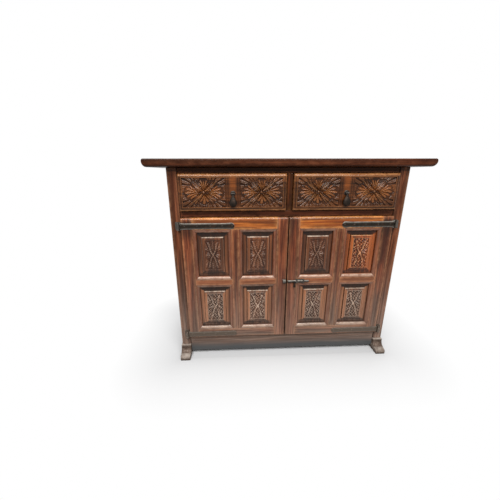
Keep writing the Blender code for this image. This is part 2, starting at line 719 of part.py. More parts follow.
def build_pull(label, side, drawer_pivot):
    """A drop pull: a round plate with two ears and a pin, and a pear-shaped drop that swings on it."""
    x = DRAWER_CENTRE
    plate = turned([(PULL_PLATE_RADIUS, 0), (PULL_PLATE_RADIUS, 0.4 * PULL_PLATE_THICKNESS),
                    (0.6 * PULL_PLATE_RADIUS, PULL_PLATE_THICKNESS)])
    bmesh.ops.rotate(plate, matrix=Matrix.Rotation(math.pi / 2, 3, "X"), verts=plate.verts)
    bmesh.ops.translate(plate, vec=(x, FACE - FIT, PULL_Z), verts=plate.verts)
    name = f"{label}_pull_plate"
    piece = add_piece(name, plate, FORGED_IRON, side, drawer_pivot)
    inside = PULL_EYE_WIDTH / 2 + SLIDE_GAP
    outside = inside + PULL_EAR_THICKNESS
    ear_radius = PULL_PIN_RADIUS + LOOP_THICKNESS / 2
    root = FACE - FIT - PULL_PLATE_THICKNESS / 2
    nose = swapped(arc(PULL_Z, PULL_Y, ear_radius, -ear_radius, 0, 180))
    ear = nose + [(root, PULL_Z - ear_radius), (root, PULL_Z + ear_radius)]
    ears = merge(prism(ear, "X", x - outside, x - inside), prism(ear, "X", x + inside, x + outside))
    combine(piece, add_helper(name + "_ears", ears, side), "UNION")
    pin = prism(circle(PULL_Y, PULL_Z, PULL_PIN_RADIUS), "X", x - outside - SLIDE_GAP, x + outside + SLIDE_GAP)
    combine(piece, add_helper(name + "_pin", pin, side), "UNION")
    pivot = make_pivot(f"{label}_pull_axis", (side * x, PULL_Y, PULL_Z), drawer_pivot)
    half = PULL_EYE_WIDTH / 2
    eye = tube(PULL_Y, PULL_Z, PULL_EYE_RADIUS, PULL_PIN_RADIUS + FIT, "X", x - half, x + half)
    name = f"{label}_pull_drop"
    piece = add_piece(name, eye, FORGED_IRON, side, pivot)
    combine(piece, add_helper(name + "_pear", drop_shape(x), side), "UNION")


def drop_shape(x):
    """The pear of a drop pull: a slim neck that widens to a round foot, flattened front to back."""
    neck = PULL_EYE_WIDTH / 3
    top = -(PULL_PIN_RADIUS + PULL_EYE_RADIUS) / 2 - FIT
    bulge = -DROP_LENGTH + DROP_RADIUS
    profile = [(neck, top)]
    for i in range(1, CURVE_STEPS + 1):
        share = i / (CURVE_STEPS + 1)
        swell = math.sin(math.pi / 2 * share) ** 1.5
        profile.append((neck + (DROP_RADIUS - neck) * swell, top + (bulge - top) * share))
    profile += [(r, z) for r, z in arc(0, bulge, DROP_RADIUS, -DROP_RADIUS, 0, 80)]
    pear = turned(profile)
    bmesh.ops.scale(pear, vec=(1, DROP_FLATNESS, 1), verts=pear.verts)
    bmesh.ops.translate(pear, vec=(x, PULL_Y, PULL_Z), verts=pear.verts)
    return pear


def staple(out, rear, front):
    """A square staple over the bolt: its legs end in the plate behind it."""
    inner = BOLT_HEIGHT / 2 + SLIDE_GAP
    outer = inner + LOOP_THICKNESS
    roof = front - SLIDE_GAP
    outline = [
        (rear, MID_CENTRE - outer),
        (rear, MID_CENTRE - inner),
        (roof, MID_CENTRE - inner),
        (roof, MID_CENTRE + inner),
        (rear, MID_CENTRE + inner),
        (rear, MID_CENTRE + outer),
        (roof - LOOP_THICKNESS, MID_CENTRE + outer),
        (roof - LOOP_THICKNESS, MID_CENTRE - outer),
    ]
    return prism(outline, "X", *out)


def build_latch(left_pivot, right_pivot):
    """A slide bolt on the right door and its keeper on the left, level with the mid rails."""
    rear = FACE - FIT
    plate_front = rear - LATCH_PLATE_THICKNESS
    bar_rear = plate_front - SLIDE_GAP
    bar_front = bar_rear - BOLT_THICKNESS
    buried = plate_front + LATCH_PLATE_THICKNESS / 2
    half = BOLT_HEIGHT / 2 + SLIDE_GAP + 2 * LOOP_THICKNESS
    plate_z = (MID_CENTRE - half, MID_CENTRE + half)
    end = LATCH_PLATE_OUT + LATCH_PLATE_LENGTH
    plate = board((LATCH_PLATE_OUT, end), (plate_front, rear), plate_z)
    piece = add_piece("latch_plate", plate, FORGED_IRON, 1, right_pivot)
    margin = LOOP_WIDTH / 2
    first = (LATCH_PLATE_OUT + margin, LATCH_PLATE_OUT + margin + LOOP_WIDTH)
    second = (end - margin - LOOP_WIDTH, end - margin)
    loops = merge(staple(first, buried, bar_front), staple(second, buried, bar_front))
    combine(piece, add_helper("latch_loops", loops), "UNION")

    keeper_end = KEEPER_OUT + KEEPER_LENGTH
    plate = board((KEEPER_OUT, keeper_end), (plate_front, rear), plate_z)
    piece = add_piece("latch_keeper", plate, FORGED_IRON, -1, left_pivot)
    loop = staple((KEEPER_OUT + FIT, keeper_end - FIT), buried, bar_front)
    combine(piece, add_helper("keeper_loop", loop, -1), "UNION")

    bolt_pivot = make_pivot("latch_slide", (BOLT_TIP, bar_rear, MID_CENTRE), right_pivot)
    bar_z = (MID_CENTRE - BOLT_HEIGHT / 2, MID_CENTRE + BOLT_HEIGHT / 2)
    bar = board((BOLT_TIP, BOLT_TIP + BOLT_LENGTH), (bar_front, bar_rear), bar_z)
    piece = add_piece("latch_bolt", bar, FORGED_IRON, 1, bolt_pivot)
    wide = BOLT_HANDLE_WIDTH / 2
    handle_out = first[0] - BOLT_HANDLE_GAP - wide
    foot_z = MID_CENTRE + BOLT_HEIGHT / 4 - BOLT_HANDLE_LENGTH + wide
    leaf = [(handle_out + wide / 2, MID_CENTRE + BOLT_HEIGHT / 4)]
    leaf += arc(handle_out, foot_z, wide, -wide, 0, 180)
    leaf.append((handle_out - wide / 2, MID_CENTRE + BOLT_HEIGHT / 4))
    handle = prism(leaf, "Y", bar_front - BOLT_HANDLE_THICKNESS, bar_front + BOLT_THICKNESS / 4)
    combine(piece, add_helper("latch_handle", handle), "UNION")


def main():
    """Build the credenza from the top down."""
    clear_scene()
    build_top()
    build_case()
    pivots = {}
    for label, side in (("left", -1), ("right", 1)):
        build_side(label, side)
        build_drawer(label, side)
        pivots[label] = build_door(label, side)
    build_latch(pivots["left"], pivots["right"])


main()
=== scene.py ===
"""Looks of the carved walnut credenza: worn boards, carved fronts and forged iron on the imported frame.

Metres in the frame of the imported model: +Z is up, the front faces -Y and the doors meet at X = 0.
Paired pieces are drawn on the +X side, where "out" is the distance from that line, and mirrored for the left.
"""

import logging
import math
from dataclasses import dataclass, field, replace
from enum import Enum
from functools import partial
from typing import Callable, Sequence

import bmesh
import bpy
import numpy as np
from mathutils import Matrix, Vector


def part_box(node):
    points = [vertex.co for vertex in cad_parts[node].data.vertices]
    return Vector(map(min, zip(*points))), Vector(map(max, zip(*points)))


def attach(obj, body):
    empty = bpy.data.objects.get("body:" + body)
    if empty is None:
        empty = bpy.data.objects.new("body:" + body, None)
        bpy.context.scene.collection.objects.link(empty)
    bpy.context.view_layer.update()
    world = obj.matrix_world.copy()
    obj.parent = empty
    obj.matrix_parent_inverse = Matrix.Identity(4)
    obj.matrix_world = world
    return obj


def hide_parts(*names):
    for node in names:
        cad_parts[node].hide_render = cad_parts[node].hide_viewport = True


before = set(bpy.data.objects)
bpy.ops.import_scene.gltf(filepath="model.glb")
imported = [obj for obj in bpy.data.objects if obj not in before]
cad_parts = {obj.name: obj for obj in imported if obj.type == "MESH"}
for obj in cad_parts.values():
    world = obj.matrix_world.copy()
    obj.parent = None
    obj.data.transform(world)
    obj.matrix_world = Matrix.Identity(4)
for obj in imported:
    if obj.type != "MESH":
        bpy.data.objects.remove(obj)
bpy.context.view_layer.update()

Array = np.ndarray
Pair = tuple[float, float]
Floats = Sequence[float]
LOG = logging.getLogger("credenza")
MM = 0.001
SIDES = {"left": -1, "right": 1}
MASKS = ("wear", "grime", "warmth")
WELD = 2e-6
SHARP_DEGREES = 38
MATH = "ShaderNodeMath"
TIMES = {"operation": "MULTIPLY"}
TIMES_PLUS = {"operation": "MULTIPLY_ADD"}
COLOURS = {"data_type": "RGBA"}
WHITE = (1, 1, 1, 1)


class Facing(Enum):
    """Which way the face of a slab looks: axes of its length, height and depth, and the depth's sign."""

    FRONT = (0, 2, 1, 1)
    BACK = (0, 2, 1, -1)
    RIGHT = (1, 2, 0, -1)
    LEFT = (1, 2, 0, 1)


class Grain(Enum):
    """The axis that the grain of a board runs along, first, and the two across it."""

    ALONG_X = (0, 1, 2)
    ALONG_Y = (1, 0, 2)
    ALONG_Z = (2, 0, 1)


class Slot(Enum):
    """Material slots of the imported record."""

    WALNUT = "walnut"
    WORN = "worn_walnut"
    INNER = "inner_wood"
    IRON = "forged_iron"


def linear(code: str) -> tuple[float, float, float, float]:
    """Turn an sRGB hex colour into linear light.

    Args:
        code: Six hex digits after a number sign.

    Returns:
        Red, green, blue and an alpha of one.
    """
    shares = [int(code[i : i + 2], 16) / 255 for i in (1, 3, 5)]
    bent = [c / 12.92 if c <= 0.04045 else ((c + 0.055) / 1.055) ** 2.4 for c in shares]
    return (*bent, 1.0)


def add_node(tree: bpy.types.NodeTree, kind: str, settings: dict, inputs: dict) -> bpy.types.Node:
    """Add one node with its settings and links.

    Args:
        tree: Tree of a material or a world.
        kind: Type name of the node.
        settings: Values of the node's own properties.
        inputs: A value or a source socket for each input, by name or number.

    Returns:
        The new node.
    """
    node = tree.nodes.new(kind)
    for key, value in settings.items():
        setattr(node, key, value)
    for key, value in inputs.items():
        if isinstance(value, bpy.types.NodeSocket):
            tree.links.new(value, node.inputs[key])
        else:
            node.inputs[key].default_value = value
    return node


def seed_of(name: str) -> float:
    """A number between 0 and 14 that is always the same for a name."""
    return (sum((i + 3) * ord(c) for i, c in enumerate(name)) % 197) / 14.0


def smooth(value: Array, low: float, high: float) -> Array:
    """Ease from 0 at low to 1 at high along the cubic 3t^2 - 2t^3."""
    t = np.clip((value - low) / (high - low), 0, 1)
    return t * t * (3 - 2 * t)


def bump(value: Array, centre: float, width: float) -> Array:
    """A round hump, 1 at its centre: e to minus the square of the distance over the width."""
    return np.exp(-(((value - centre) / width) ** 2))


def dome(share: Array) -> Array:
    """A half round: the root of 1 less the square of the share of its half width, and 0 outside."""
    return np.sqrt(np.clip(1 - share**2, 0, 1))


def eased(distance: Array, width: float, depth: float) -> Array:
    """Fall of a rounded arris: a quarter ellipse, deepest at distance 0 and nothing past its width.

    Args:
        distance: How far each point lies inside the edge.
        width: Width of the rounding on the face.
        depth: Depth of the rounding at the edge.

    Returns:
        The depth at each point.
    """
    share = 1 - np.clip(distance / width, 0, 1)
    return depth * (1 - np.sqrt(1 - share**2))


def ripple(a: Array, b: Array, seed: float) -> Array:
    """Slow unevenness left by hand tools: a sum of three products of sines of unlike lengths.

    Args:
        a: Places along one way.
        b: Places along the other.
        seed: Number that shifts the waves.

    Returns:
        The unevenness, from -1 to 1.
    """
    first = np.sin(31 * a + 1.7 * seed) * np.sin(23 * b + 2.9 * seed)
    second = np.sin(67 * a - 2.1 * seed + 9 * b) * np.sin(53 * b + 0.7 * seed)
    third = np.sin(127 * a + 0.4 * seed - 17 * b) * np.sin(101 * b + 1.3 * seed)
    return 0.5 * first + 0.3 * second + 0.2 * third


def arc(centre: Floats, radii: Floats, start: float, end: float, steps: int) -> Array:
    """Points of an elliptic arc between two angles in degrees."""
    t = np.radians(np.linspace(start, end, steps + 1))
    return np.stack([centre[0] + radii[0] * np.cos(t), centre[1] + radii[1] * np.sin(t)], axis=1)


def stations(*spans: tuple[float, float, int]) -> Array:
    """Sample places along a line: each span gives its start and a count of equal steps up to its end.

    Args:
        spans: Start, end and number of steps of each stretch, in order.

    Returns:
        The places in rising order, with the last end.
    """
    runs = [np.linspace(low, high, steps, endpoint=False) for low, high, steps in spans]
    return np.concatenate([*runs, [spans[-1][1]]])


def edge_stations(low: float, high: float, ease_low: float, ease_high: float, steps: int) -> Array:
    """Places across a board that crowd where its arrises turn.

    Args:
        low: One edge.
        high: The other edge.
        ease_low: Width of the rounding at the first edge.
        ease_high: Width of the rounding at the other edge.
        steps: Number of steps between the roundings.

    Returns:
        The places in rising order; in a rounding they lie at 1 - cos of equal angles.
    """
    turn = 1 - np.cos(np.linspace(0, math.pi / 2, 6))
    spread = np.array([2.0, 4.0]) * MM
    start = np.concatenate([low + ease_low * turn, low + ease_low + spread])
    end = np.concatenate([high - ease_high - spread[::-1], high - ease_high * turn[::-1]])
    middle = np.linspace(start[-1], end[0], steps + 1)[1:-1]
    return np.concatenate([start, middle, end])


@dataclass
class Surface:
    """A closed surface as arrays, with what its finish reads at each point.

    Attributes:
        points: Places of the vertices.
        faces: Arrays of vertex numbers, one row for each face.
        grain: Place in the log that the piece was cut from, with the grain along the first column.
        masks: Shares from 0 to 1 at each vertex: wear where the polish is rubbed through, and painted
            highlights;
            grime where dark wax lies in a hollow, and painted shade; and warmth where the stain is rubbed
            down to the orange wood.
    """

    points: Array
    faces: list[Array]
    grain: Array
    masks: dict[str, Array]

    @classmethod
    def cut(
        cls, points: Array, faces: list[Array], run: Grain, seed: float, **masks: Array | float
    ) -> "Surface":
        """Give a shape its grain and its masks.

        Args:
            points: Places of the vertices.
            faces: Arrays of vertex numbers.
            run: Axis of the grain.
            seed: Number that shifts the figure, so that no two boards match.
            masks: Masks by name, as one share for all vertices or one for each; a mask left out is 0.

        Returns:
            The surface.
        """
        grain = points[:, list(run.value)] + np.array([0.83, 0.37, 0.59]) * seed
        none = np.zeros(len(points))
        return cls(points, faces, grain, {label: none + masks.get(label, 0.0) for label in MASKS})

    def mirrored(self, side: int) -> "Surface":
        """The same surface on the given side of the meeting line."""
        return Surface(self.points * (side, 1, 1), self.faces, self.grain, self.masks)

    def __add__(self, other: "Surface") -> "Surface":
        """Join two surfaces.

        Args:
            other: The second surface.

        Returns:
            Both as one piece with separate shells.
        """
        moved = [face + len(self.points) for face in other.faces]
        points = np.concatenate([self.points, other.points])
        grain = np.concatenate([self.grain, other.grain])
        masks = {label: np.concatenate([self.masks[label], other.masks[label]]) for label in MASKS}
        return Surface(points, self.faces + moved, grain, masks)

    def mesh(self, name: str) -> bpy.types.Mesh:
        """Put the arrays into a mesh, weld its seams and turn its faces outwards.

        Args:
            name: Name of the mesh.

        Returns:
            The mesh, smooth but for its sharp edges.
        """
        made = bpy.data.meshes.new(name)
        rows = [row for block in self.faces for row in block.tolist()]
        made.from_pydata(self.points, [], rows)
        for label, values in {"grain": self.grain, **self.masks}.items():
            kind, key = ("FLOAT_VECTOR", "vector") if values.ndim == 2 else ("FLOAT", "value")
            limits = values if values.ndim == 2 else np.clip(values, 0, 1)
            layer = made.attributes.new(label, kind, "POINT")
            layer.data.foreach_set(key, np.ascontiguousarray(limits).ravel())
        welded = bmesh.new()
        welded.from_mesh(made)
        bmesh.ops.remove_doubles(welded, verts=welded.verts, dist=WELD)
        bmesh.ops.recalc_face_normals(welded, faces=welded.faces)
        welded.to_mesh(made)
        welded.free()
        made.shade_smooth()
        made.set_sharp_from_angle(angle=math.radians(SHARP_DEGREES))
        return made


def grid_faces(rows: int, columns: int, start: int = 0, closed: bool = False) -> Array:
    """Quads of a grid of points that are numbered row by row.

    Args:
        rows: Number of rows.
        columns: Number of columns.
        start: Number of the first point.
        closed: Whether the last column joins the first.

    Returns:
        One row of four numbers for each quad.
    """
    numbers = np.arange(rows * columns).reshape(rows, columns) + start
    if closed:
        numbers = np.hstack([numbers, numbers[:, :1]])
    corners = (numbers[:-1, :-1], numbers[:-1, 1:], numbers[1:, 1:], numbers[1:, :-1])
    return np.stack([c.ravel() for c in corners], axis=1)


def rim_of(rows: int, columns: int) -> Array:
    """Numbers of the outer points of a grid, in order round it."""
    flat = np.arange(rows * columns).reshape(rows, columns)
    return np.concatenate([flat[0, :-1], flat[:-1, -1], flat[-1, :0:-1], flat[:0:-1, 0]])


def between(front: Array, back: Array, run: Grain, seed: float, **masks: Array) -> Surface:
    """Two grids of points with as many rows and columns, joined by a band of quads round their rims.

    Args:
        front: Points of one face, in rows and columns.
        back: Points of the other face.
        run: Axis of the grain.
        seed: Number that shifts the figure.
        masks: Masks by name, over the first face and then the other.

    Returns:
        The closed surface.
    """
    rows, columns = front.shape[:2]
    count = rows * columns
    ring = rim_of(rows, columns)
    ahead = np.roll(ring, -1)
    band = np.stack([ring, ahead, ahead + count, ring + count], axis=1)
    faces = [grid_faces(rows, columns), grid_faces(rows, columns, count), band]
    points = np.concatenate([front.reshape(-1, 3), back.reshape(-1, 3)])
    return Surface.cut(points, faces, run, seed, **masks)


def slab(
    along: Array,
    up: Array,
    depth: Array,
    level: float,
    thickness: float,
    facing: Facing,
    run: Grain,
    seed: float,
    **masks: Array,
) -> Surface:
    """A board whose face is a height field over a grid, with plain sides and a plain back.

    A point lies at its place along and up the board and its depth behind the level of the face. The diagonals
    of the grid's cells run from the board's corners towards its middle, so mitred slopes stay crisp.

    Args:
        along: Places along the board.
        up: Places up the board.
        depth: Depth of the face at each place, one row for each place up.
        level: Where the face lies on the depth axis.
        thickness: Thickness from the face's level to the back.
        facing: Which way the face looks.
        run: Axis of the grain.
        seed: Number that shifts the figure.
        masks: Masks over the grid, by name.

    Returns:
        The closed surface.
    """
    a_axis, b_axis, d_axis, sign = facing.value
    rows, columns = depth.shape
    count = rows * columns
    ring = rim_of(rows, columns)
    a, b = (grid.ravel() for grid in np.meshgrid(along, up))
    inner = np.minimum(depth.ravel()[ring] + 1.5 * MM, thickness - 0.2 * MM)
    points = np.empty((count + len(ring) + 4, 3))
    points[:, a_axis] = np.concatenate([a, a[ring], along[[0, -1, -1, 0]]])
    points[:, b_axis] = np.concatenate([b, b[ring], up[[0, 0, -1, -1]]])
    points[:, d_axis] = level + sign * np.concatenate([depth.ravel(), inner, np.full(4, thickness)])

    cells = grid_faces(rows, columns).reshape(rows - 1, columns - 1, 4)
    lower, nearer = (np.arange(n - 1) < (n - 1) / 2 for n in (rows, columns))
    rising = np.equal.outer(lower, nearer)
    up_cells, down_cells = cells[rising], cells[~rising]
    faces = [up_cells[:, [0, 1, 2]], up_cells[:, [0, 2, 3]]]
    faces += [down_cells[:, [0, 1, 3]], down_cells[:, [1, 2, 3]]]
    behind = np.arange(len(ring)) + count
    faces.append(np.stack([ring, np.roll(ring, -1), np.roll(behind, -1), behind], axis=1))
    starts = np.cumsum([0, columns - 1, rows - 1, columns - 1])
    ends = np.append(starts[1:], len(ring))
    rear = np.arange(4) + count + len(ring)
    for n, (start, end) in enumerate(zip(starts, ends)):
        strip = np.append(behind[start:end], behind[end % len(ring)])
        fan = np.stack([np.full(len(strip) - 1, rear[n]), strip[:-1], strip[1:]], axis=1)
        faces += [fan, np.array([[rear[n], strip[-1], rear[(n + 1) % 4]]])]
    faces.append(rear[None, ::-1])
    flat = {label: mask.ravel() for label, mask in masks.items()}
    spread = {label: np.concatenate([mask, mask[ring], np.zeros(4)]) for label, mask in flat.items()}
    return Surface.cut(points, faces, run, seed, **spread)


@dataclass(frozen=True)
class Ease:
    """Width and depth of the rounded arris at each edge of a board's face, in metres."""

    start: Pair
    end: Pair
    bottom: Pair
    top: Pair

    @classmethod
    def even(cls, size: float) -> "Ease":
        """The same rounding at all four edges."""
        return cls((size, size), (size, size), (size, size), (size, size))


def worn_board(
    low: Floats,
    high: Floats,
    facing: Facing,
    run: Grain,
    ease: Ease,
    name: str,
    joints: Floats = (),
) -> Surface:
    """A hand-planed board in a box: rounded arrises, a slow ripple over the face and nicks along the edges.

    The depth is the root of the squares of the four edge roundings, plus 0.24 mm of ripple at most that fades
    at the edges, plus a narrow V at each joint. The wear falls off with the distance from the nearest edge.

    Args:
        low: Lowest corner of the box.
        high: Highest corner of the box.
        facing: Which way the shaped face looks.
        run: Axis of the grain.
        ease: Roundings of the four edges.
        name: Name of the piece, which sets its figure.
        joints: Places along the board of joints between planks.

    Returns:
        The closed surface.
    """
    a_axis, b_axis, d_axis, sign = facing.value
    seed = seed_of(name)
    cell, fewest, most = 14 * MM, 4, 60
    steps = [max(fewest, min(most, int((high[i] - low[i]) / cell))) for i in (a_axis, b_axis)]
    along = edge_stations(low[a_axis], high[a_axis], ease.start[0], ease.end[0], steps[0])
    for joint in joints:
        along = np.sort(np.concatenate([along, joint + np.array([-2.0, -0.8, 0, 0.8, 2.0]) * MM]))
    up = edge_stations(low[b_axis], high[b_axis], ease.bottom[0], ease.top[0], steps[1])
    a, b = np.meshgrid(along, up)
    distances = (a - low[a_axis], high[a_axis] - a, b - low[b_axis], high[b_axis] - b)
    arrises = (ease.start, ease.end, ease.bottom, ease.top)
    falls = [eased(distance, *arris) for distance, arris in zip(distances, arrises)]
    nearest = np.minimum.reduce(distances)
    depth = np.sqrt(sum(fall**2 for fall in falls))
    depth += 0.12 * MM * (1 + ripple(a, b, seed)) * smooth(nearest, 0, 6 * MM)
    wear = np.exp(-nearest / (5 * MM)) * (0.75 + 0.25 * ripple(2.3 * a, 2.3 * b, seed))
    grime = np.zeros_like(wear)
    for joint in joints:
        cut = np.exp(-np.abs(a - joint) / (0.9 * MM))
        depth += 1.1 * MM * cut
        grime = np.maximum(grime, cut)
    level = low[d_axis] if sign > 0 else high[d_axis]
    thickness = high[d_axis] - low[d_axis]
    return slab(along, up, depth, level, thickness, facing, run, seed, wear=wear, grime=grime)


def swept(rings: Array, run: Grain, seed: float, wear: float = 0.3) -> Surface:
    """Closed rings of points joined in order, with flat caps on the first and the last.

    Args:
        rings: Points in rows, one row for each ring.
        run: Axis of the grain.
        seed: Number that shifts the figure.
        wear: Wear all over.

    Returns:
        The closed surface.
    """
    count, length = rings.shape[:2]
    cap = np.arange(length)[None, :]
    faces = [grid_faces(count, length, closed=True), cap[:, ::-1], cap + (count - 1) * length]
    return Surface.cut(rings.reshape(-1, 3), faces, run, seed, wear=wear)


def extruded(
    outline: Array, axis: int, low: float, high: float, ease: float, run: Grain, name: str
) -> Surface:
    """An outline carried along an axis; the end rings are pulled in along their normals to round the arrises.

    Args:
        outline: Points of the closed outline in the two other coordinates, in order.
        axis: Axis that it is carried along.
        low: Where it starts.
        high: Where it ends.
        ease: Size of the rounding at both ends.
        run: Axis of the grain.
        name: Name of the piece, which sets its figure.

    Returns:
        The closed surface.
    """
    ahead = np.roll(outline, -1, axis=0) - outline
    ahead /= np.linalg.norm(ahead, axis=1)[:, None]
    normal = np.stack([ahead[:, 1], -ahead[:, 0]], axis=1)
    normal = normal + np.roll(normal, 1, axis=0)
    normal /= np.linalg.norm(normal, axis=1)[:, None]
    x, y = outline.T
    normal *= np.sign(np.sum(x * np.roll(y, -1) - np.roll(x, -1) * y))
    turn = np.linspace(0, math.pi / 2, 4)
    pulls = ease * (1 - np.sin(turn))
    levels = ease * (1 - np.cos(turn))
    pull = np.concatenate([pulls, pulls[::-1]])
    rings = np.empty((len(pull), len(outline), 3))
    rings[:, :, [i for i in range(3) if i != axis]] = outline[None] - pull[:, None, None] * normal[None]
    rings[:, :, axis] = np.concatenate([low + levels, high - levels[::-1]])[:, None]
    return swept(rings, run, seed_of(name))


def spun(profile: Array, angles: Array, centre: Floats, axis: int) -> Array:
    """Places of a profile at each angle round an axis.

    Args:
        profile: Radius and height of each point.
        angles: Angles in radians.
        centre: Point that the heights start from.
        axis: Axis of the turning.

    Returns:
        Points with one row for each point of the profile and one column for each angle.
    """
    first, second = (i for i in range(3) if i != axis)
    places = np.empty((len(profile), len(angles), 3))
    places[:, :, first] = profile[:, :1] * np.cos(angles)
    places[:, :, second] = profile[:, :1] * np.sin(angles)
    places[:, :, axis] = profile[:, 1:]
    return places + np.array(centre)


def turned(
    profile: Array,
    centre: Floats,
    axis: int,
    facets: int,
    squash: float = 1.0,
    wear: float = 0.3,
) -> Surface:
    """A profile turned round an axis through a centre.

    Args:
        profile: Radius and height of each ring; a radius of 0 closes the pole.
        centre: Point that the heights start from.
        axis: Axis of the turning.
        facets: Number of points in each ring.
        squash: Share of the radius that is kept along Y, for a flattened form.
        wear: Wear all over.

    Returns:
        The closed surface.
    """
    angles = np.linspace(0, 2 * math.pi, facets, endpoint=False)
    rings = spun(profile, angles, (0, 0, 0), axis)
    rings[:, :, 1] *= squash
    return swept(rings + np.array(centre), Grain.ALONG_X, float(np.sum(centre)), wear)


def bushing(
    radii: Pair, half: float, ease: float, centre: Floats, axis: int, seed: float, wear: float
) -> Surface:
    """A ring round a pin: a wall with eased outer edges, turned round an axis and closed on itself.

    Args:
        radii: Radius of the bore, and outer radius.
        half: Half its height.
        ease: Size of the easing.
        centre: Its middle.
        axis: Axis of the pin.
        seed: Number that shifts the figure.
        wear: Wear all over.

    Returns:
        The closed surface.
    """
    bore, radius = radii
    upper = np.array([[radius, half - ease], [radius - ease, half], [bore, half]])
    wall = np.concatenate([upper[::-1] * (1, -1), upper])
    rings = spun(wall, np.linspace(0, 2 * math.pi, 25), centre, axis).transpose(1, 0, 2)
    faces = [grid_faces(*rings.shape[:2], closed=True)]
    return Surface.cut(rings.reshape(-1, 3), faces, Grain.ALONG_X, seed, wear=wear)


def rod(radius: float, half: float, tip: float, ease: float) -> Array:
    """Profile of a pin: a straight shank with a flat end of the tip's radius and an easing at both ends."""
    upper = np.array([[radius, half - ease], [tip, half], [0, half]])
    return np.concatenate([upper[::-1] * (1, -1), upper])


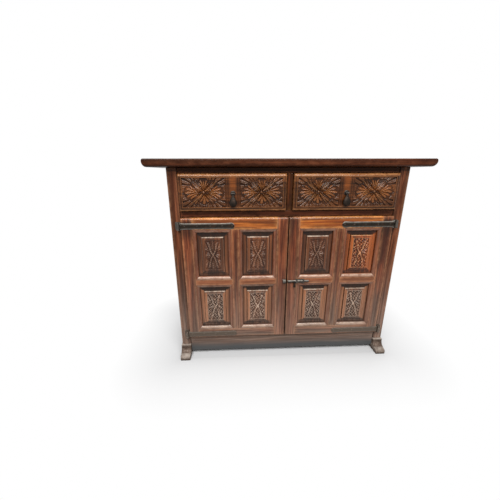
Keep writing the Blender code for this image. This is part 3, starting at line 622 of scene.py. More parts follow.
class Relief:
    """Carver's motifs as height shares from 0 to 1 over millimetres from the middle of a ground."""

    @staticmethod
    def polar(u: Array, v: Array, root: Pair, heading: float) -> tuple[Array, Array]:
        """Polar coordinates round a root.

        Args:
            u: Places along the ground.
            v: Places up the ground.
            root: Point that they start from.
            heading: Direction of angle 0, in degrees.

        Returns:
            Distance in millimetres, and angle in degrees.
        """
        h = math.radians(heading)
        a = (u - root[0]) * math.cos(h) + (v - root[1]) * math.sin(h)
        b = (v - root[1]) * math.cos(h) - (u - root[0]) * math.sin(h)
        return np.hypot(a, b), np.degrees(np.arctan2(b, a))

    @classmethod
    def wedge(cls, u: Array, v: Array, root: Pair, heading: float, reach: float, spread: float) -> Array:
        """The ground round a palmette: a round-ended wedge from its root.

        Args:
            u: Places along the ground.
            v: Places up the ground.
            root: Point of the wedge.
            heading: Its direction, in degrees.
            reach: Its length.
            spread: Its half angle, in degrees.

        Returns:
            A share that is 1 inside and eases to 0 outside.
        """
        rho, phi = cls.polar(u, v, root, heading)
        tip = reach * (1 - 0.3 * np.clip(np.abs(phi) / spread, 0, 1) ** 2)
        return smooth(tip - rho, 0, 2.5) * smooth(spread - np.abs(phi), 0, 9)

    @classmethod
    def fan(
        cls,
        u: Array,
        v: Array,
        root: Pair,
        heading: float,
        reach: float,
        spread: float,
        lobes: int,
        notch: float = 0.0,
        flare: float = 0.0,
    ) -> Array:
        """A palmette: pointed lobes fanned round a root, rounded across, veined and parted by grooves.

        In polar coordinates round the root, the angle over the spread numbers the lobes, and the spread grows
        outward by the flare. The reach shortens to the sides and between lobes, and the height is a round
        ridge across each lobe and a swell along it.

        Args:
            u: Places along the ground.
            v: Places up the ground.
            root: Point that the lobes start from.
            heading: Direction of the middle lobe, in degrees.
            reach: Length of the middle lobe.
            spread: Half angle of the fan at the root, in degrees.
            lobes: Number of lobes.
            notch: Share by which the middle lobe is cut back.
            flare: Share by which the half angle has grown at the tips.

        Returns:
            The height share.
        """
        rho, phi = cls.polar(u, v, root, heading)
        wide = spread * (1 + flare * np.clip(rho / reach, 0, 1.2) ** 1.3)
        turn = phi / wide * lobes / 2
        middle = np.round(turn) if lobes % 2 else np.floor(turn) + 0.5
        across = turn - middle
        outward = np.abs(middle) / (lobes / 2)
        tip = reach * (1 - 0.30 * outward**1.5) * (1 - 0.42 * (2 * across) ** 2)
        tip = np.maximum(tip * (1 - notch * bump(phi, 0, 9)), 1e-6)
        inside = smooth(tip - rho, 0, 2.2) * smooth(wide - np.abs(phi), 0, 4)
        share = np.clip(rho / tip, 0, 1)
        ridge = np.clip(1 - (2.0 * across) ** 2, 0, 1) ** 0.75
        vein = 1 - 0.3 * bump(across, 0, 0.10) * smooth(share, 0.3, 0.6)
        swell = 0.62 + 0.38 * np.sin(2.26 * share**0.8 + 0.35)
        return inside * swell * ridge * vein

    @staticmethod
    def stem(u: Array, v: Array, start: Pair, end: Pair, first: float, last: float) -> Array:
        """A straight stalk, half round across.

        Args:
            u: Places along the ground.
            v: Places up the ground.
            start: One end.
            end: The other end.
            first: Half width at the start.
            last: Half width at the end.

        Returns:
            The height share.
        """
        du, dv = end[0] - start[0], end[1] - start[1]
        length = math.hypot(du, dv)
        t = ((u - start[0]) * du + (v - start[1]) * dv) / length**2
        off = np.abs((v - start[1]) * du - (u - start[0]) * dv) / length
        width = first + (last - first) * np.clip(t, 0, 1)
        return smooth(t, -0.02, 0.03) * smooth(1 - t, -0.02, 0.06) * dome(off / width)

    @staticmethod
    def boss(u: Array, v: Array, radius: float) -> Array:
        """A half-round knob in the middle of the ground."""
        return dome(np.hypot(u, v) / radius)

    @classmethod
    def rosette(cls, u: Array, v: Array, w: float, h: float) -> tuple[Array, Array]:
        """The drawer carving: four palmettes round a boss, over leaves that flare to the corners.

        Args:
            u: Places along the ground.
            v: Places up the ground.
            w: Half width of the ground.
            h: Half height of the ground.

        Returns:
            The height share, the highest motif at each place, and a share that is 1 on the palmettes.
        """
        # Root, heading, reach, spread, lobes, notch and flare of each palmette.
        petals = (
            ((0, 0.12 * h), 90, 0.84 * h, 30, 5, 0.22, 0.5),
            ((0, -0.13 * h), 270, 0.72 * h, 32, 3, 0.0, 0.5),
            ((0.20 * w, 0), 0, 0.72 * w, 34, 5, 0.0, 0.35),
            ((-0.20 * w, 0), 180, 0.72 * w, 34, 5, 0.0, 0.35),
        )
        raised = np.maximum.reduce([cls.fan(u, v, *petal) for petal in petals])
        moats = [
            cls.wedge(u, v, root, heading, 1.07 * reach, spread * 1.45 + 2)
            for root, heading, reach, spread, *_ in petals
        ]
        low = 0.6 * np.maximum.reduce([cls.fan(u, v, (0, 0), heading, 2 * h, 26, 5) for heading in (90, 270)])
        diagonal, root = 41, (0.05 * w, 0.07 * h)
        for x in (-1, 1):
            low = np.maximum(low, 0.6 * cls.fan(x * u, v, (0, 0), 0, 1.6 * w, 17, 3))
            for z in (-1, 1):
                p, q = x * u, z * v
                outer = cls.fan(p, q, (0.02 * w, 0.03 * h), diagonal, 2.1 * h, 30, 7, 0, 0.75)
                inner = cls.fan(p, q, root, diagonal, 0.98 * h, 24, 4, 0, 0.35)
                clear = 1 - 0.7 * cls.wedge(p, q, root, diagonal, 1.04 * h, 34)
                stalk = cls.stem(p, q, (0.06 * w, 0.08 * h), (0.62 * w, 0.76 * h), 2.6, 2.0)
                stalk *= 0.95 if x * z < 0 else 0.6
                low = np.maximum.reduce([low * clear, 0.84 * outer * clear, 0.92 * inner, stalk])
        low = low * (1 - 0.7 * np.maximum.reduce(moats))
        height = np.maximum(low, raised) * smooth(np.hypot(u, v), 6.5, 9.0)
        return np.maximum(height, 0.9 * cls.boss(u, v, 6.0)), smooth(raised, 0.15, 0.45)

    @classmethod
    def saltire(cls, u: Array, v: Array, w: float, h: float, pierced: float) -> Array:
        """The panel carving: two ribbons that cross under a boss, with palmettes on all sides.

        A ribbon leans by a straight line and sways by a small sine. Drilled eyes pit the palmettes where the
        product of two cosines, each shifted by a slow sine of the other place, is high.

        Args:
            u: Places along the ground.
            v: Places up the ground.
            w: Half width of the ground.
            h: Half height of the ground.
            pierced: How deep the drilled eyes are, from 0 to 1.

        Returns:
            The height share, the highest motif at each place.
        """
        ribbon, beside, leaves = (np.zeros_like(u) for _ in range(3))
        ends = smooth(0.90 * h - np.abs(v), 0, 4)
        for x in (-1, 1):
            off = np.abs(u - x * w * (0.78 * v / h + 0.07 * np.sin(6.3 * v / h))) * 0.92
            half = 4.0 + 2.0 * np.abs(v) / h
            groove = 1 - 0.35 * bump(off, 0, 1.4) * smooth(np.abs(v), 0.15 * h, 0.3 * h)
            ribbon = np.maximum(ribbon, ends * groove * dome(off / half))
            beside = np.maximum(beside, ends * smooth(half + 2.6 - off, 0, 2.4))
            side = cls.fan(x * u, v, (0.22 * w, 0), 0, 0.86 * w, 50, 3)
            crown = cls.fan(u, x * v, (0, 0.24 * h), 90, 0.78 * h, 20, 3, 0, 0.3)
            leaves = np.maximum.reduce([leaves, side, crown])
            for z in (-1, 1):
                corner = cls.fan(x * u, z * v, (0.42 * w, 0.24 * h), 58, 0.84 * h, 34, 3, 0, 0.2)
                outside = smooth(x * u / w - 0.8 * z * v / h, -0.06, 0.02)
                leaves = np.maximum(leaves, corner * outside)
        leaves *= 0.82
        weave = np.cos(u / 2.3 + 1.3 * np.sin(v / 7.5)) * np.cos(v / 2.6 + 1.5 * np.sin(np.abs(u) / 6.5))
        eyes = pierced * smooth(weave, 0.1, 0.5)
        punched = 0.3 - (0.12 + 0.45 * pierced) * weave
        low = np.maximum(leaves * (1 - eyes), punched) * (1 - (0.8 - 0.2 * pierced) * beside)
        height = np.maximum(low, (1 - 0.05 * pierced) * ribbon * (1 - 0.5 * eyes))
        return np.maximum(height, cls.boss(u, v, 6.0))


@dataclass(frozen=True)
class Finish:
    """What the finishes share: a name, and a material that is made at its first use."""

    name: str

    def material(self) -> bpy.types.Material:
        """Make the material, or give the one that is there.

        Returns:
            The material.
        """
        made = bpy.data.materials.get(self.name)
        if made is None:
            made = bpy.data.materials.new(self.name)
            made.use_nodes = True
            self.paint(made.node_tree, made.node_tree.nodes["Principled BSDF"])
        return made

    def paint(self, tree: bpy.types.NodeTree, shader: bpy.types.Node) -> None:
        """Add the nodes of the finish, which each kind of finish has its own of."""
        raise NotImplementedError

    @staticmethod
    def dust_and_floor_sheen(
        add: Callable, spot: bpy.types.NodeSocket, start: float, whole: float, most: float
    ) -> bpy.types.NodeSocket:
        """Greyness near the floor: settled dust, and a painted reflection of the pale floor.

        Args:
            add: Adder of nodes to the material's tree.
            spot: Place on the object.
            start: Height at which the greyness starts.
            whole: Lower height at which there is most of it.
            most: Share of greyness there.

        Returns:
            The share of dust and painted reflection.
        """
        height = add("ShaderNodeSeparateXYZ", {}, {"Vector": spot}).outputs["Z"]
        limits = {"Value": height, "From Min": start, "From Max": whole, "To Max": most}
        return add("ShaderNodeMapRange", {"interpolation_type": "SMOOTHSTEP"}, limits).outputs[0]


@dataclass(frozen=True)
class WoodFinish(Finish):
    """Hand-waxed timber: streaked by its grain, rubbed pale on the arrises and dark with wax in the hollows.

    Its worn colour also paints highlights, its wax colour paints shade and its dust paints a reflection of
    the floor, where the masks and the height ask for them.

    Attributes:
        dark: Colour of the late wood.
        middle: Colour of the board.
        light: Colour of the early wood.
        worn: Colour where the stain is rubbed through, and of painted highlights.
        wax: Colour of the wax in the hollows and pores, and of painted shade.
        roughness: Roughness of the polish.
        gloss: Weight of the wax coat.
        dust: How grey the wood is near the floor, from 0 to 1: dust, and a painted reflection of the floor.
        warm: Colour where the stain is rubbed down to the orange wood.
        haze: Colour of the dust and of the painted floor reflection near the floor.
        on_node: Whether it dresses a solid of the frame, which has no grain layer of its own.
        turn: Turn that brings the grain along X on such a solid, in degrees about Y and Z.
    """

    dark: str
    middle: str
    light: str
    worn: str
    wax: str
    roughness: float
    gloss: float
    dust: float
    warm: str = "#9A5426"
    haze: str = "#94877D"
    on_node: bool = False
    turn: Pair = (0.0, 0.0)

    def paint(self, tree: bpy.types.NodeTree, shader: bpy.types.Node) -> None:
        """Go from dark to light along streaks, then lay warm wood, pores, rubbed places and painted
        highlights, wax and painted shade, and dust with a painted floor reflection over them.

        Args:
            tree: Tree of the material.
            shader: Its surface.
        """
        add = partial(add_node, tree)
        spot = add("ShaderNodeTexCoord", {}, {}).outputs["Object"]
        if self.on_node:
            turn = (0.0, *(math.radians(angle) for angle in self.turn))
            log = add("ShaderNodeMapping", {}, {"Vector": spot, "Rotation": turn}).outputs[0]
        else:
            log = add("ShaderNodeAttribute", {"attribute_name": "grain"}, {}).outputs["Vector"]

        # Millimetres along and across the grain, detail, bend, and the range that the share comes from.
        # Real pores are finer; they are drawn 2 mm wide so that they show.
        patterns, shares = {}, {}
        for label, along, across, detail, bend, low, high in (
            ("figure", 420, 26, 3.0, 1.2, 0.42, 0.60),
            ("streak", 210, 6.5, 4.0, 0.4, 0.44, 0.60),
            ("pore", 45, 2.0, 2.0, 0.0, 0.60, 0.72),
            ("blotch", 150, 110, 3.0, 0.3, 0.35, 0.68),
            ("scuff", 28, 16, 4.0, 0.6, 0.35, 0.65),
        ):
            scale = tuple(1 / (size * MM) for size in (along, across, across))
            scaled = add("ShaderNodeMapping", {}, {"Vector": log, "Scale": scale}).outputs[0]
            values = {"Vector": scaled, "Scale": 1.0, "Detail": detail, "Distortion": bend}
            patterns[label] = add("ShaderNodeTexNoise", {}, values).outputs[0]
            limits = {"Value": patterns[label], "From Min": low, "From Max": high}
            shares[label] = add("ShaderNodeMapRange", {}, limits).outputs[0]

        masks = {}
        for label in MASKS:
            masks[label] = add("ShaderNodeAttribute", {"attribute_name": label}, {}).outputs["Fac"]
        patches = add(MATH, TIMES_PLUS, {0: shares["scuff"], 1: 0.7, 2: 0.3}).outputs[0]
        worn = add(MATH, TIMES, {0: masks["wear"], 1: patches}).outputs[0]
        bands = add(MATH, TIMES_PLUS, {0: shares["streak"], 1: 0.4, 2: 0.45}).outputs[0]
        warm = add(MATH, TIMES, {0: masks["warmth"], 1: bands}).outputs[0]
        # Greyer towards the floor: dust, and a painted reflection of the pale floor.
        dust_and_floor_sheen = self.dust_and_floor_sheen(add, spot, start=0.58, whole=-0.08, most=self.dust)
        streaky = add(MATH, TIMES, {0: dust_and_floor_sheen, 1: bands}).outputs[0]
        bare = add(MATH, {"operation": "SUBTRACT"}, {0: 1.0, 1: masks["grime"]}).outputs[0]
        dust_and_sheen = add(MATH, TIMES, {0: streaky, 1: bare}).outputs[0]

        colour = linear(self.middle)
        # The worn colour lays both wear and painted highlights, and the wax colour both wax and painted
        # shade.
        for share, paint, weight in (
            (shares["streak"], self.light, 0.9),
            (shares["figure"], self.dark, 0.78),
            (shares["blotch"], self.dark, 0.45),
            (warm, self.warm, 1.0),
            (shares["pore"], self.wax, 0.45),
            (worn, self.worn, 0.8),
            (masks["grime"], self.wax, 0.92),
            (dust_and_sheen, self.haze, 1.0),
        ):
            factor = add(MATH, TIMES, {0: share, 1: weight}).outputs[0]
            layers = {0: factor, 6: colour, 7: linear(paint)}
            colour = add("ShaderNodeMix", COLOURS, layers).outputs[2]
        tree.links.new(colour, shader.inputs["Base Color"])

        uneven = {0: shares["scuff"], 1: 0.14, 2: self.roughness - 0.07}
        polish = add(MATH, TIMES_PLUS, uneven).outputs[0]
        dull = {0: masks["grime"], 1: 0.25, 2: polish}
        rough = add(MATH, {**TIMES_PLUS, "use_clamp": True}, dull).outputs[0]
        tree.links.new(rough, shader.inputs["Roughness"])
        relief = {0: patterns["streak"], 1: 0.7, 2: patterns["pore"]}
        grainy = add(MATH, TIMES_PLUS, relief).outputs[0]
        ridges = {"Height": grainy, "Strength": 0.35, "Distance": 0.5 * MM}
        tree.links.new(add("ShaderNodeBump", {}, ridges).outputs[0], shader.inputs["Normal"])
        shader.inputs["Specular IOR Level"].default_value = 0.1
        shader.inputs["Specular Tint"].default_value = linear("#D9B48E")
        shader.inputs["Coat Weight"].default_value = self.gloss
        shader.inputs["Coat Roughness"].default_value = 0.16
        shader.inputs["Coat Tint"].default_value = linear("#FFF0DC")


@dataclass(frozen=True)
class IronFinish(Finish):
    """Forged iron, hammered and darkened with oil: facets of blows, patches of rust and grey rubbed edges.

    Attributes:
        dark: Colour between the blows.
        middle: Colour of the iron.
        rust: Colour of the rust.
        worn: Colour of bare iron on rubbed edges, and of painted highlights on upper edges.
        haze: Colour of the dust and of the painted floor reflection near the floor.
    """

    dark: str
    middle: str
    rust: str
    worn: str = "#A39D94"
    haze: str = "#786A5E"

    def paint(self, tree: bpy.types.NodeTree, shader: bpy.types.Node) -> None:
        """Hammer marks as cells of 5 mm and rust in blotches of 14 mm, then rubbed edges with painted
        highlights, and dust with a painted floor reflection.

        Args:
            tree: Tree of the material.
            shader: Its surface.
        """
        add = partial(add_node, tree)
        spot = add("ShaderNodeTexCoord", {}, {}).outputs["Object"]
        blows = {"Vector": spot, "Scale": 1 / (5 * MM), "Smoothness": 1.0}
        cells = {"feature": "SMOOTH_F1"}
        hammer = add("ShaderNodeTexVoronoi", cells, blows).outputs["Distance"]
        blotches = {"Vector": spot, "Scale": 1 / (14 * MM), "Detail": 5.0}
        patch = add("ShaderNodeTexNoise", {}, blotches).outputs[0]
        limits = {"Value": patch, "From Min": 0.48, "From Max": 0.66}
        rusty = add("ShaderNodeMapRange", {}, limits).outputs[0]
        wear = add("ShaderNodeAttribute", {"attribute_name": "wear"}, {}).outputs["Fac"]
        # Rubbed edges and painted highlights where the mask carries them, then dust and a painted floor
        # reflection.
        rubbed = add(MATH, TIMES, {0: wear, 1: patch}).outputs[0]
        dust_and_sheen = self.dust_and_floor_sheen(add, spot, start=0.32, whole=0.02, most=0.75)
        colour = linear(self.middle)
        for share, paint in (
            (hammer, self.dark),
            (rusty, self.rust),
            (rubbed, self.worn),
            (dust_and_sheen, self.haze),
        ):
            layers = {0: share, 6: colour, 7: linear(paint)}
            colour = add("ShaderNodeMix", COLOURS, layers).outputs[2]
        tree.links.new(colour, shader.inputs["Base Color"])
        rough = add(MATH, TIMES_PLUS, {0: patch, 1: 0.3, 2: 0.32}).outputs[0]
        tree.links.new(rough, shader.inputs["Roughness"])
        dents = {"Height": hammer, "Strength": 0.5, "Distance": 0.6 * MM}
        tree.links.new(add("ShaderNodeBump", {}, dents).outputs[0], shader.inputs["Normal"])
        shader.inputs["Metallic"].default_value = 0.7
        shader.inputs["Specular IOR Level"].default_value = 0.2


# Walnut under old dark wax: nearly black, with hardly a sheen. The top and the rails.
CASE = WoodFinish(
    "dark_walnut_waxed", "#110402", "#290F07", "#462111", "#744630", "#0A0301", 0.34, 0.08, 0.5
)
# Walnut that the wax has left red; dust and a painted floor reflection grey it below. The stiles and sides.
STILE = WoodFinish(
    "red_walnut_waxed", "#260E06", "#552B19", "#7C4A31", "#A57A5C", "#120603", 0.33, 0.15, 0.75
)
# Walnut, brown above and slate grey below with painted shade and floor reflection, with a painted highlight
# # on its top arris. The sill.
SILL = WoodFinish(
    "sill_walnut_dusty", "#40302A", "#654C40", "#7E685B", "#CDB4A2", "#474B4D", 0.45, 0.1, 0.35
)
# Walnut scuffed bare by shoes: matt, grey and pale where scuffed, with painted highlights on ledge and toe.
# The feet.
FOOT = WoodFinish(
    "foot_walnut_scuffed", "#3C2E27", "#5C4C43", "#7A6B60", "#B4AAA0", "#1B110B", 0.5, 0.1, 0.2
)
# Walnut waxed to a soft shine: mid brown with dark streaks. The frames of the doors.
DOOR = WoodFinish(
    "brown_walnut_waxed", "#220A04", "#552514", "#864A2C", "#AE7E5A", "#0C0301", 0.30, 0.36, 0.6
)
# The same, polished by dusters: a brighter shine, and pale grey crests that are painted highlights. The
# mouldings.
MOULDED = WoodFinish(
    "moulded_walnut_waxed", "#240B05", "#562716", "#864C30", "#BAA698", "#0A0301", 0.30, 0.45, 0.6
)
# Walnut rubbed down to its honey colour by hands: orange and glossy. The top rails of the doors.
HONEY = WoodFinish(
    "honey_walnut_rubbed", "#3E1806", "#7A3B12", "#AA6528", "#D09A62", "#180904", 0.28, 0.4, 0.4
)
# Dark red walnut that drawers have rubbed. The divider.
RUBBED = WoodFinish(
    "red_walnut_rubbed", "#180702", "#381606", "#5A290D", "#8C5828", "#0C0301", 0.33, 0.15, 0.4
)
# Carved walnut: golden where it stands proud and black with wax in the cuts. The drawer fronts.
CARVED = WoodFinish(
    "carved_walnut_waxed", "#200E05", "#442410", "#62391D", "#A2734A", "#100502", 0.32, 0.28, 0.6, "#84481E"
)
# Panel walnut: brown, with a greyish worn colour that paints highlights on its arrises and greys its crests.
# The door panels.
FIELDED = WoodFinish(
    "fielded_walnut_waxed", "#240F07", "#482614", "#6C4026", "#C2B2A4", "#0A0301", 0.30, 0.42, 0.6, "#A0643C"
)
# One panel that has kept its red stain.
RUDDY = WoodFinish(
    "carved_walnut_ruddy", "#2A0E04", "#5C2A13", "#843F1C", "#C89870", "#0C0401", 0.30, 0.42, 0.5
)
# Planed chestnut without polish: straw brown and matt. The inner boards, with the grain along X or Y.
INNER_X = WoodFinish(
    "chestnut_planed_x", "#5A3C24", "#86623F", "#A07E56", "#B09070", "#2C1A0E", 0.66, 0.0, 0.2, on_node=True
)
INNER_Y = replace(INNER_X, name="chestnut_planed_y", dust=0.0, turn=(0.0, -90.0))
# Sawn chestnut, darker and rough. The back.
BACK = WoodFinish(
    "chestnut_sawn", "#4A3220", "#6E5038", "#8A6A4C", "#9A8064", "#24150C", 0.74, 0.0, 0.4
)
# Iron gone brown, with a dull shine. The hinges.
IRON = IronFinish("forged_iron_browned", "#13100D", "#2A241D", "#2E2017")
# Iron kept black by the oil of hands. The pulls and the latch.
BLACKED = IronFinish("forged_iron_oil_blacked", "#080503", "#160D06", "#22140A")


def place(name: str, shape: Surface, body: str, finish: Finish, slot: Slot, *nodes: str) -> None:
    """Make a piece from a surface, dress it and let it ride on a body.

    Args:
        name: Name of the piece.
        shape: The surface.
        body: Body that it moves with.
        finish: Its finish.
        slot: Material slot of the record; not used.
        nodes: Solids of the frame that it stands for.
    """
    piece = bpy.data.objects.new(name, shape.mesh(name))
    bpy.context.scene.collection.objects.link(piece)
    piece.data.materials.append(finish.material())
    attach(piece, body)
    if nodes:
        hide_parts(*nodes)
    LOG.info("%s: %d faces on %s", name, len(piece.data.polygons), body)


def dress(node: str, finish: Finish) -> None:
    """Give a solid of the frame a finish.

    Args:
        node: The solid.
        finish: Its finish.
    """
    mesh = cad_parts[node].data
    mesh.materials.clear()
    mesh.materials.append(finish.material())
    LOG.info("%s: keeps its solid, in %s", node, finish.name)


@dataclass
class Case:
    """The carcase: top board, stiles, rails, sides, back, inner boards and feet."""

    top_round: float = 6 * MM
    under_round: float = 14 * MM
    rear_round: float = 1.5 * MM
    arris: float = 2.5 * MM
    planks: tuple[float, ...] = (-0.071, 0.078)
    back_boards: int = 5
    side_joint: float = 0.6
    foot_ease: float = 2.5 * MM
    foot_corner: float = 2 * MM
    toe_height: float = 24 * MM
    toe_step: float = 3 * MM
    ledge: float = 10 * MM
    fillet: float = 8 * MM

    def build(self) -> None:
        """Build the pieces of the case in order."""
        self.top()
        self.plain("top_rail", Facing.FRONT, Grain.ALONG_X, CASE)
        self.plain("middle_rail", Facing.FRONT, Grain.ALONG_X, CASE)
        self.sill()
        low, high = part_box("drawer_divider")
        self.plain(
            "drawer_divider", Facing.FRONT, Grain.ALONG_Z, RUBBED, Slot.WORN, waxed=(low.x, high.x)
        )
        for side, facing in (("left", Facing.LEFT), ("right", Facing.RIGHT)):
            low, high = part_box(f"{side}_front_stile")
            inner = min(low.x, high.x, key=abs)
            self.plain(f"{side}_front_stile", Facing.FRONT, Grain.ALONG_Z, STILE, waxed=(inner,))
            low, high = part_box(f"{side}_side_board")
            joint = (1 - self.side_joint) * low.y + self.side_joint * high.y
            self.plain(f"{side}_side_board", facing, Grain.ALONG_Z, STILE, Slot.WALNUT, (joint,))
            self.foot(side)
        low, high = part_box("back_panel")
        joints = np.linspace(low.x, high.x, self.back_boards + 1)[1:-1]
        self.plain("back_panel", Facing.BACK, Grain.ALONG_Z, BACK, Slot.INNER, joints)
        for node in ("bottom_board", "shelf", "dust_board"):
            dress(node, INNER_X)

    def plain(
        self,
        node: str,
        facing: Facing,
        run: Grain,
        finish: WoodFinish,
        slot: Slot = Slot.WALNUT,
        joints: Floats = (),
        waxed: Floats = (),
    ) -> None:
        """Stand a worn board in the place of a plain solid.

        Args:
            node: Solid of the frame.
            facing: Which way its shaped face looks.
            run: Axis of the grain.
            finish: Its finish.
            slot: Material slot of the record.
            joints: Places of joints between planks.
            waxed: Places along X of edges darkened with painted shade, as of the gaps beside them.
        """
        low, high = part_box(node)
        shape = worn_board(low, high, facing, run, Ease.even(self.arris), node, joints)
        # Painted shade along these edges, as of the gaps round the drawers and doors, in place of pale wear.
        for edge in waxed:
            near = np.exp(-np.abs(shape.points[:, 0] - edge) / (6 * MM))
            shape.masks["grime"] = np.maximum(shape.masks["grime"], 0.85 * near)
            shape.masks["wear"] = shape.masks["wear"] * (1 - near)
        place(f"{node}_worn", shape, "case", finish, slot, node)

    def sill(self) -> None:
        """The deep bottom rail: brown under the doors and slate grey towards the floor, in painted shade and
        a painted floor reflection, with a painted highlight on its top arris.
        """
        low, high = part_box("bottom_rail")
        shape = worn_board(low, high, Facing.FRONT, Grain.ALONG_X, Ease.even(self.arris), "bottom_rail")
        z = shape.points[:, 2]
        # Painted shade and floor reflection: darker and slate grey towards the floor; the pale wear is kept
        # to the top arris as a painted highlight.
        shape.masks["grime"] = smooth(-z, -0.7 * high.z, -0.35 * high.z)
        shape.masks["wear"] *= smooth(z, 0.5 * high.z, high.z)
        place("bottom_rail_worn", shape, "case", SILL, Slot.WALNUT, "bottom_rail")

    def top(self) -> None:
        """The top board: two height fields, above and below, that meet in a band round the nosed edge.

        The upper face falls by a quarter circle of the top round at the front and ends, and the lower face
        rises by one of the under round. The back edge is nearly square. Shallow Vs mark the planks' joints.
        """
        low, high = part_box("top_board")
        seed = seed_of("top_board")
        crowd = np.array([0, 0.25, 1.0, 2.3, 4.0, 6.0, 9.0, 12.0, 14.0]) * MM
        rear_crowd = np.array([6.0, 3.0, 1.5, 0.5, 0]) * MM
        joints = np.concatenate([plank + np.array([-2.0, -0.7, 0, 0.7, 2.0]) * MM for plank in self.planks])
        clear, rear_clear = 22 * MM, 12 * MM
        across = np.linspace(low.x + clear, high.x - clear, 90)
        x = np.concatenate([low.x + crowd, across, high.x - crowd[::-1]])
        middle = np.sort(np.concatenate([np.linspace(low.y + clear, high.y - rear_clear, 38), joints]))
        y = np.concatenate([low.y + crowd, middle, high.y - rear_crowd])
        a, b = np.meshgrid(x, y)
        nosed = [np.minimum(a - low.x, high.x - a), b - low.y]
        edge = np.minimum(*nosed)
        rear = eased(high.y - b, self.rear_round, self.rear_round)
        fall, lift = (
            np.minimum(np.sqrt(sum(eased(d, size, size) ** 2 for d in nosed) + rear**2), most * size)
            for size, most in ((self.top_round, 1.25), (self.under_round, 1.15))
        )
        cut = np.maximum.reduce([np.exp(-np.abs(b - plank) / (0.8 * MM)) for plank in self.planks])
        fall = fall + 0.5 * MM * cut + 0.15 * MM * (1 + ripple(a, b, seed)) * smooth(edge, 0, 8 * MM)
        above = np.stack([a, b, high.z - fall], axis=2)
        below = np.stack([a, b, low.z + lift], axis=2)
        wear = np.exp(-edge / (7 * MM)) * (0.7 + 0.3 * ripple(3 * a, 3 * b, seed))
        # The underside's arris gets three times the wear of the upper one: a painted highlight along the
        # nosing.
        shape = between(
            above,
            below,
            Grain.ALONG_X,
            seed,
            wear=np.concatenate([0.15 * wear, 0.45 * wear]).ravel(),
            grime=np.concatenate([0.8 * cut, np.zeros_like(cut)]).ravel(),
        )
        shape.grain[:, 1] += 0.31 * np.digitize(shape.points[:, 1], self.planks)
        place("top_board_worn", shape, "case", CASE, Slot.WALNUT, "top_board")

    def foot(self, side: str) -> None:
        """A shoe foot: a fillet, a hollow, a step and a rounded toe, carried across and eased at both faces.

        Args:
            side: Which foot.
        """
        low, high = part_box(f"{side}_foot")
        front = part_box(f"{side}_front_stile")[0].y
        fillet = front - self.fillet
        step = (low.y + fillet) / 2
        toe, hollow_low, hollow_high = self.toe_height, self.toe_height + self.toe_step, high.z - self.ledge
        ease = self.foot_corner
        outline = np.concatenate(
            [
                arc((high.y - ease, high.z - ease), (ease, ease), 0, 90, 3),
                arc((fillet + ease, high.z - ease), (ease, ease), 90, 180, 3),
                arc((step, hollow_high), (fillet - step, hollow_high - hollow_low), 360, 270, 12),
                arc((step, toe / 2), (low.y - step, toe / 2), 90, 8, 12),
                [[low.y + 1 * MM, 0], [high.y, 0]],
            ]
        )
        shape = extruded(outline, 0, low.x, high.x, self.foot_ease, Grain.ALONG_Y, f"{side}_foot")
        y, z = shape.points[:, 1], shape.points[:, 2]
        # Painted highlights on the ledge and the top of the toe, beside real scuffs low down; painted shade
        # on the block face over the hollow and along the sole.
        ledge = bump(z, high.z, 3 * MM)
        crown = bump(z, toe, 7 * MM) * (y < step + 2 * MM)
        scuffed = 0.55 * (z < toe) * smooth(z, 2 * MM, 8 * MM)
        shape.masks["wear"] = np.maximum.reduce([0.9 * ledge, 0.9 * crown, scuffed])
        block_face = smooth(z, hollow_low + 3 * MM, hollow_high) * (1 - ledge)
        sole = 1 - smooth(z, 0, 4 * MM)
        shape.masks["grime"] = np.maximum(0.6 * block_face * (y < front), 0.9 * sole)
        place(f"{side}_foot_worn", shape, "case", FOOT, Slot.WALNUT, f"{side}_foot")


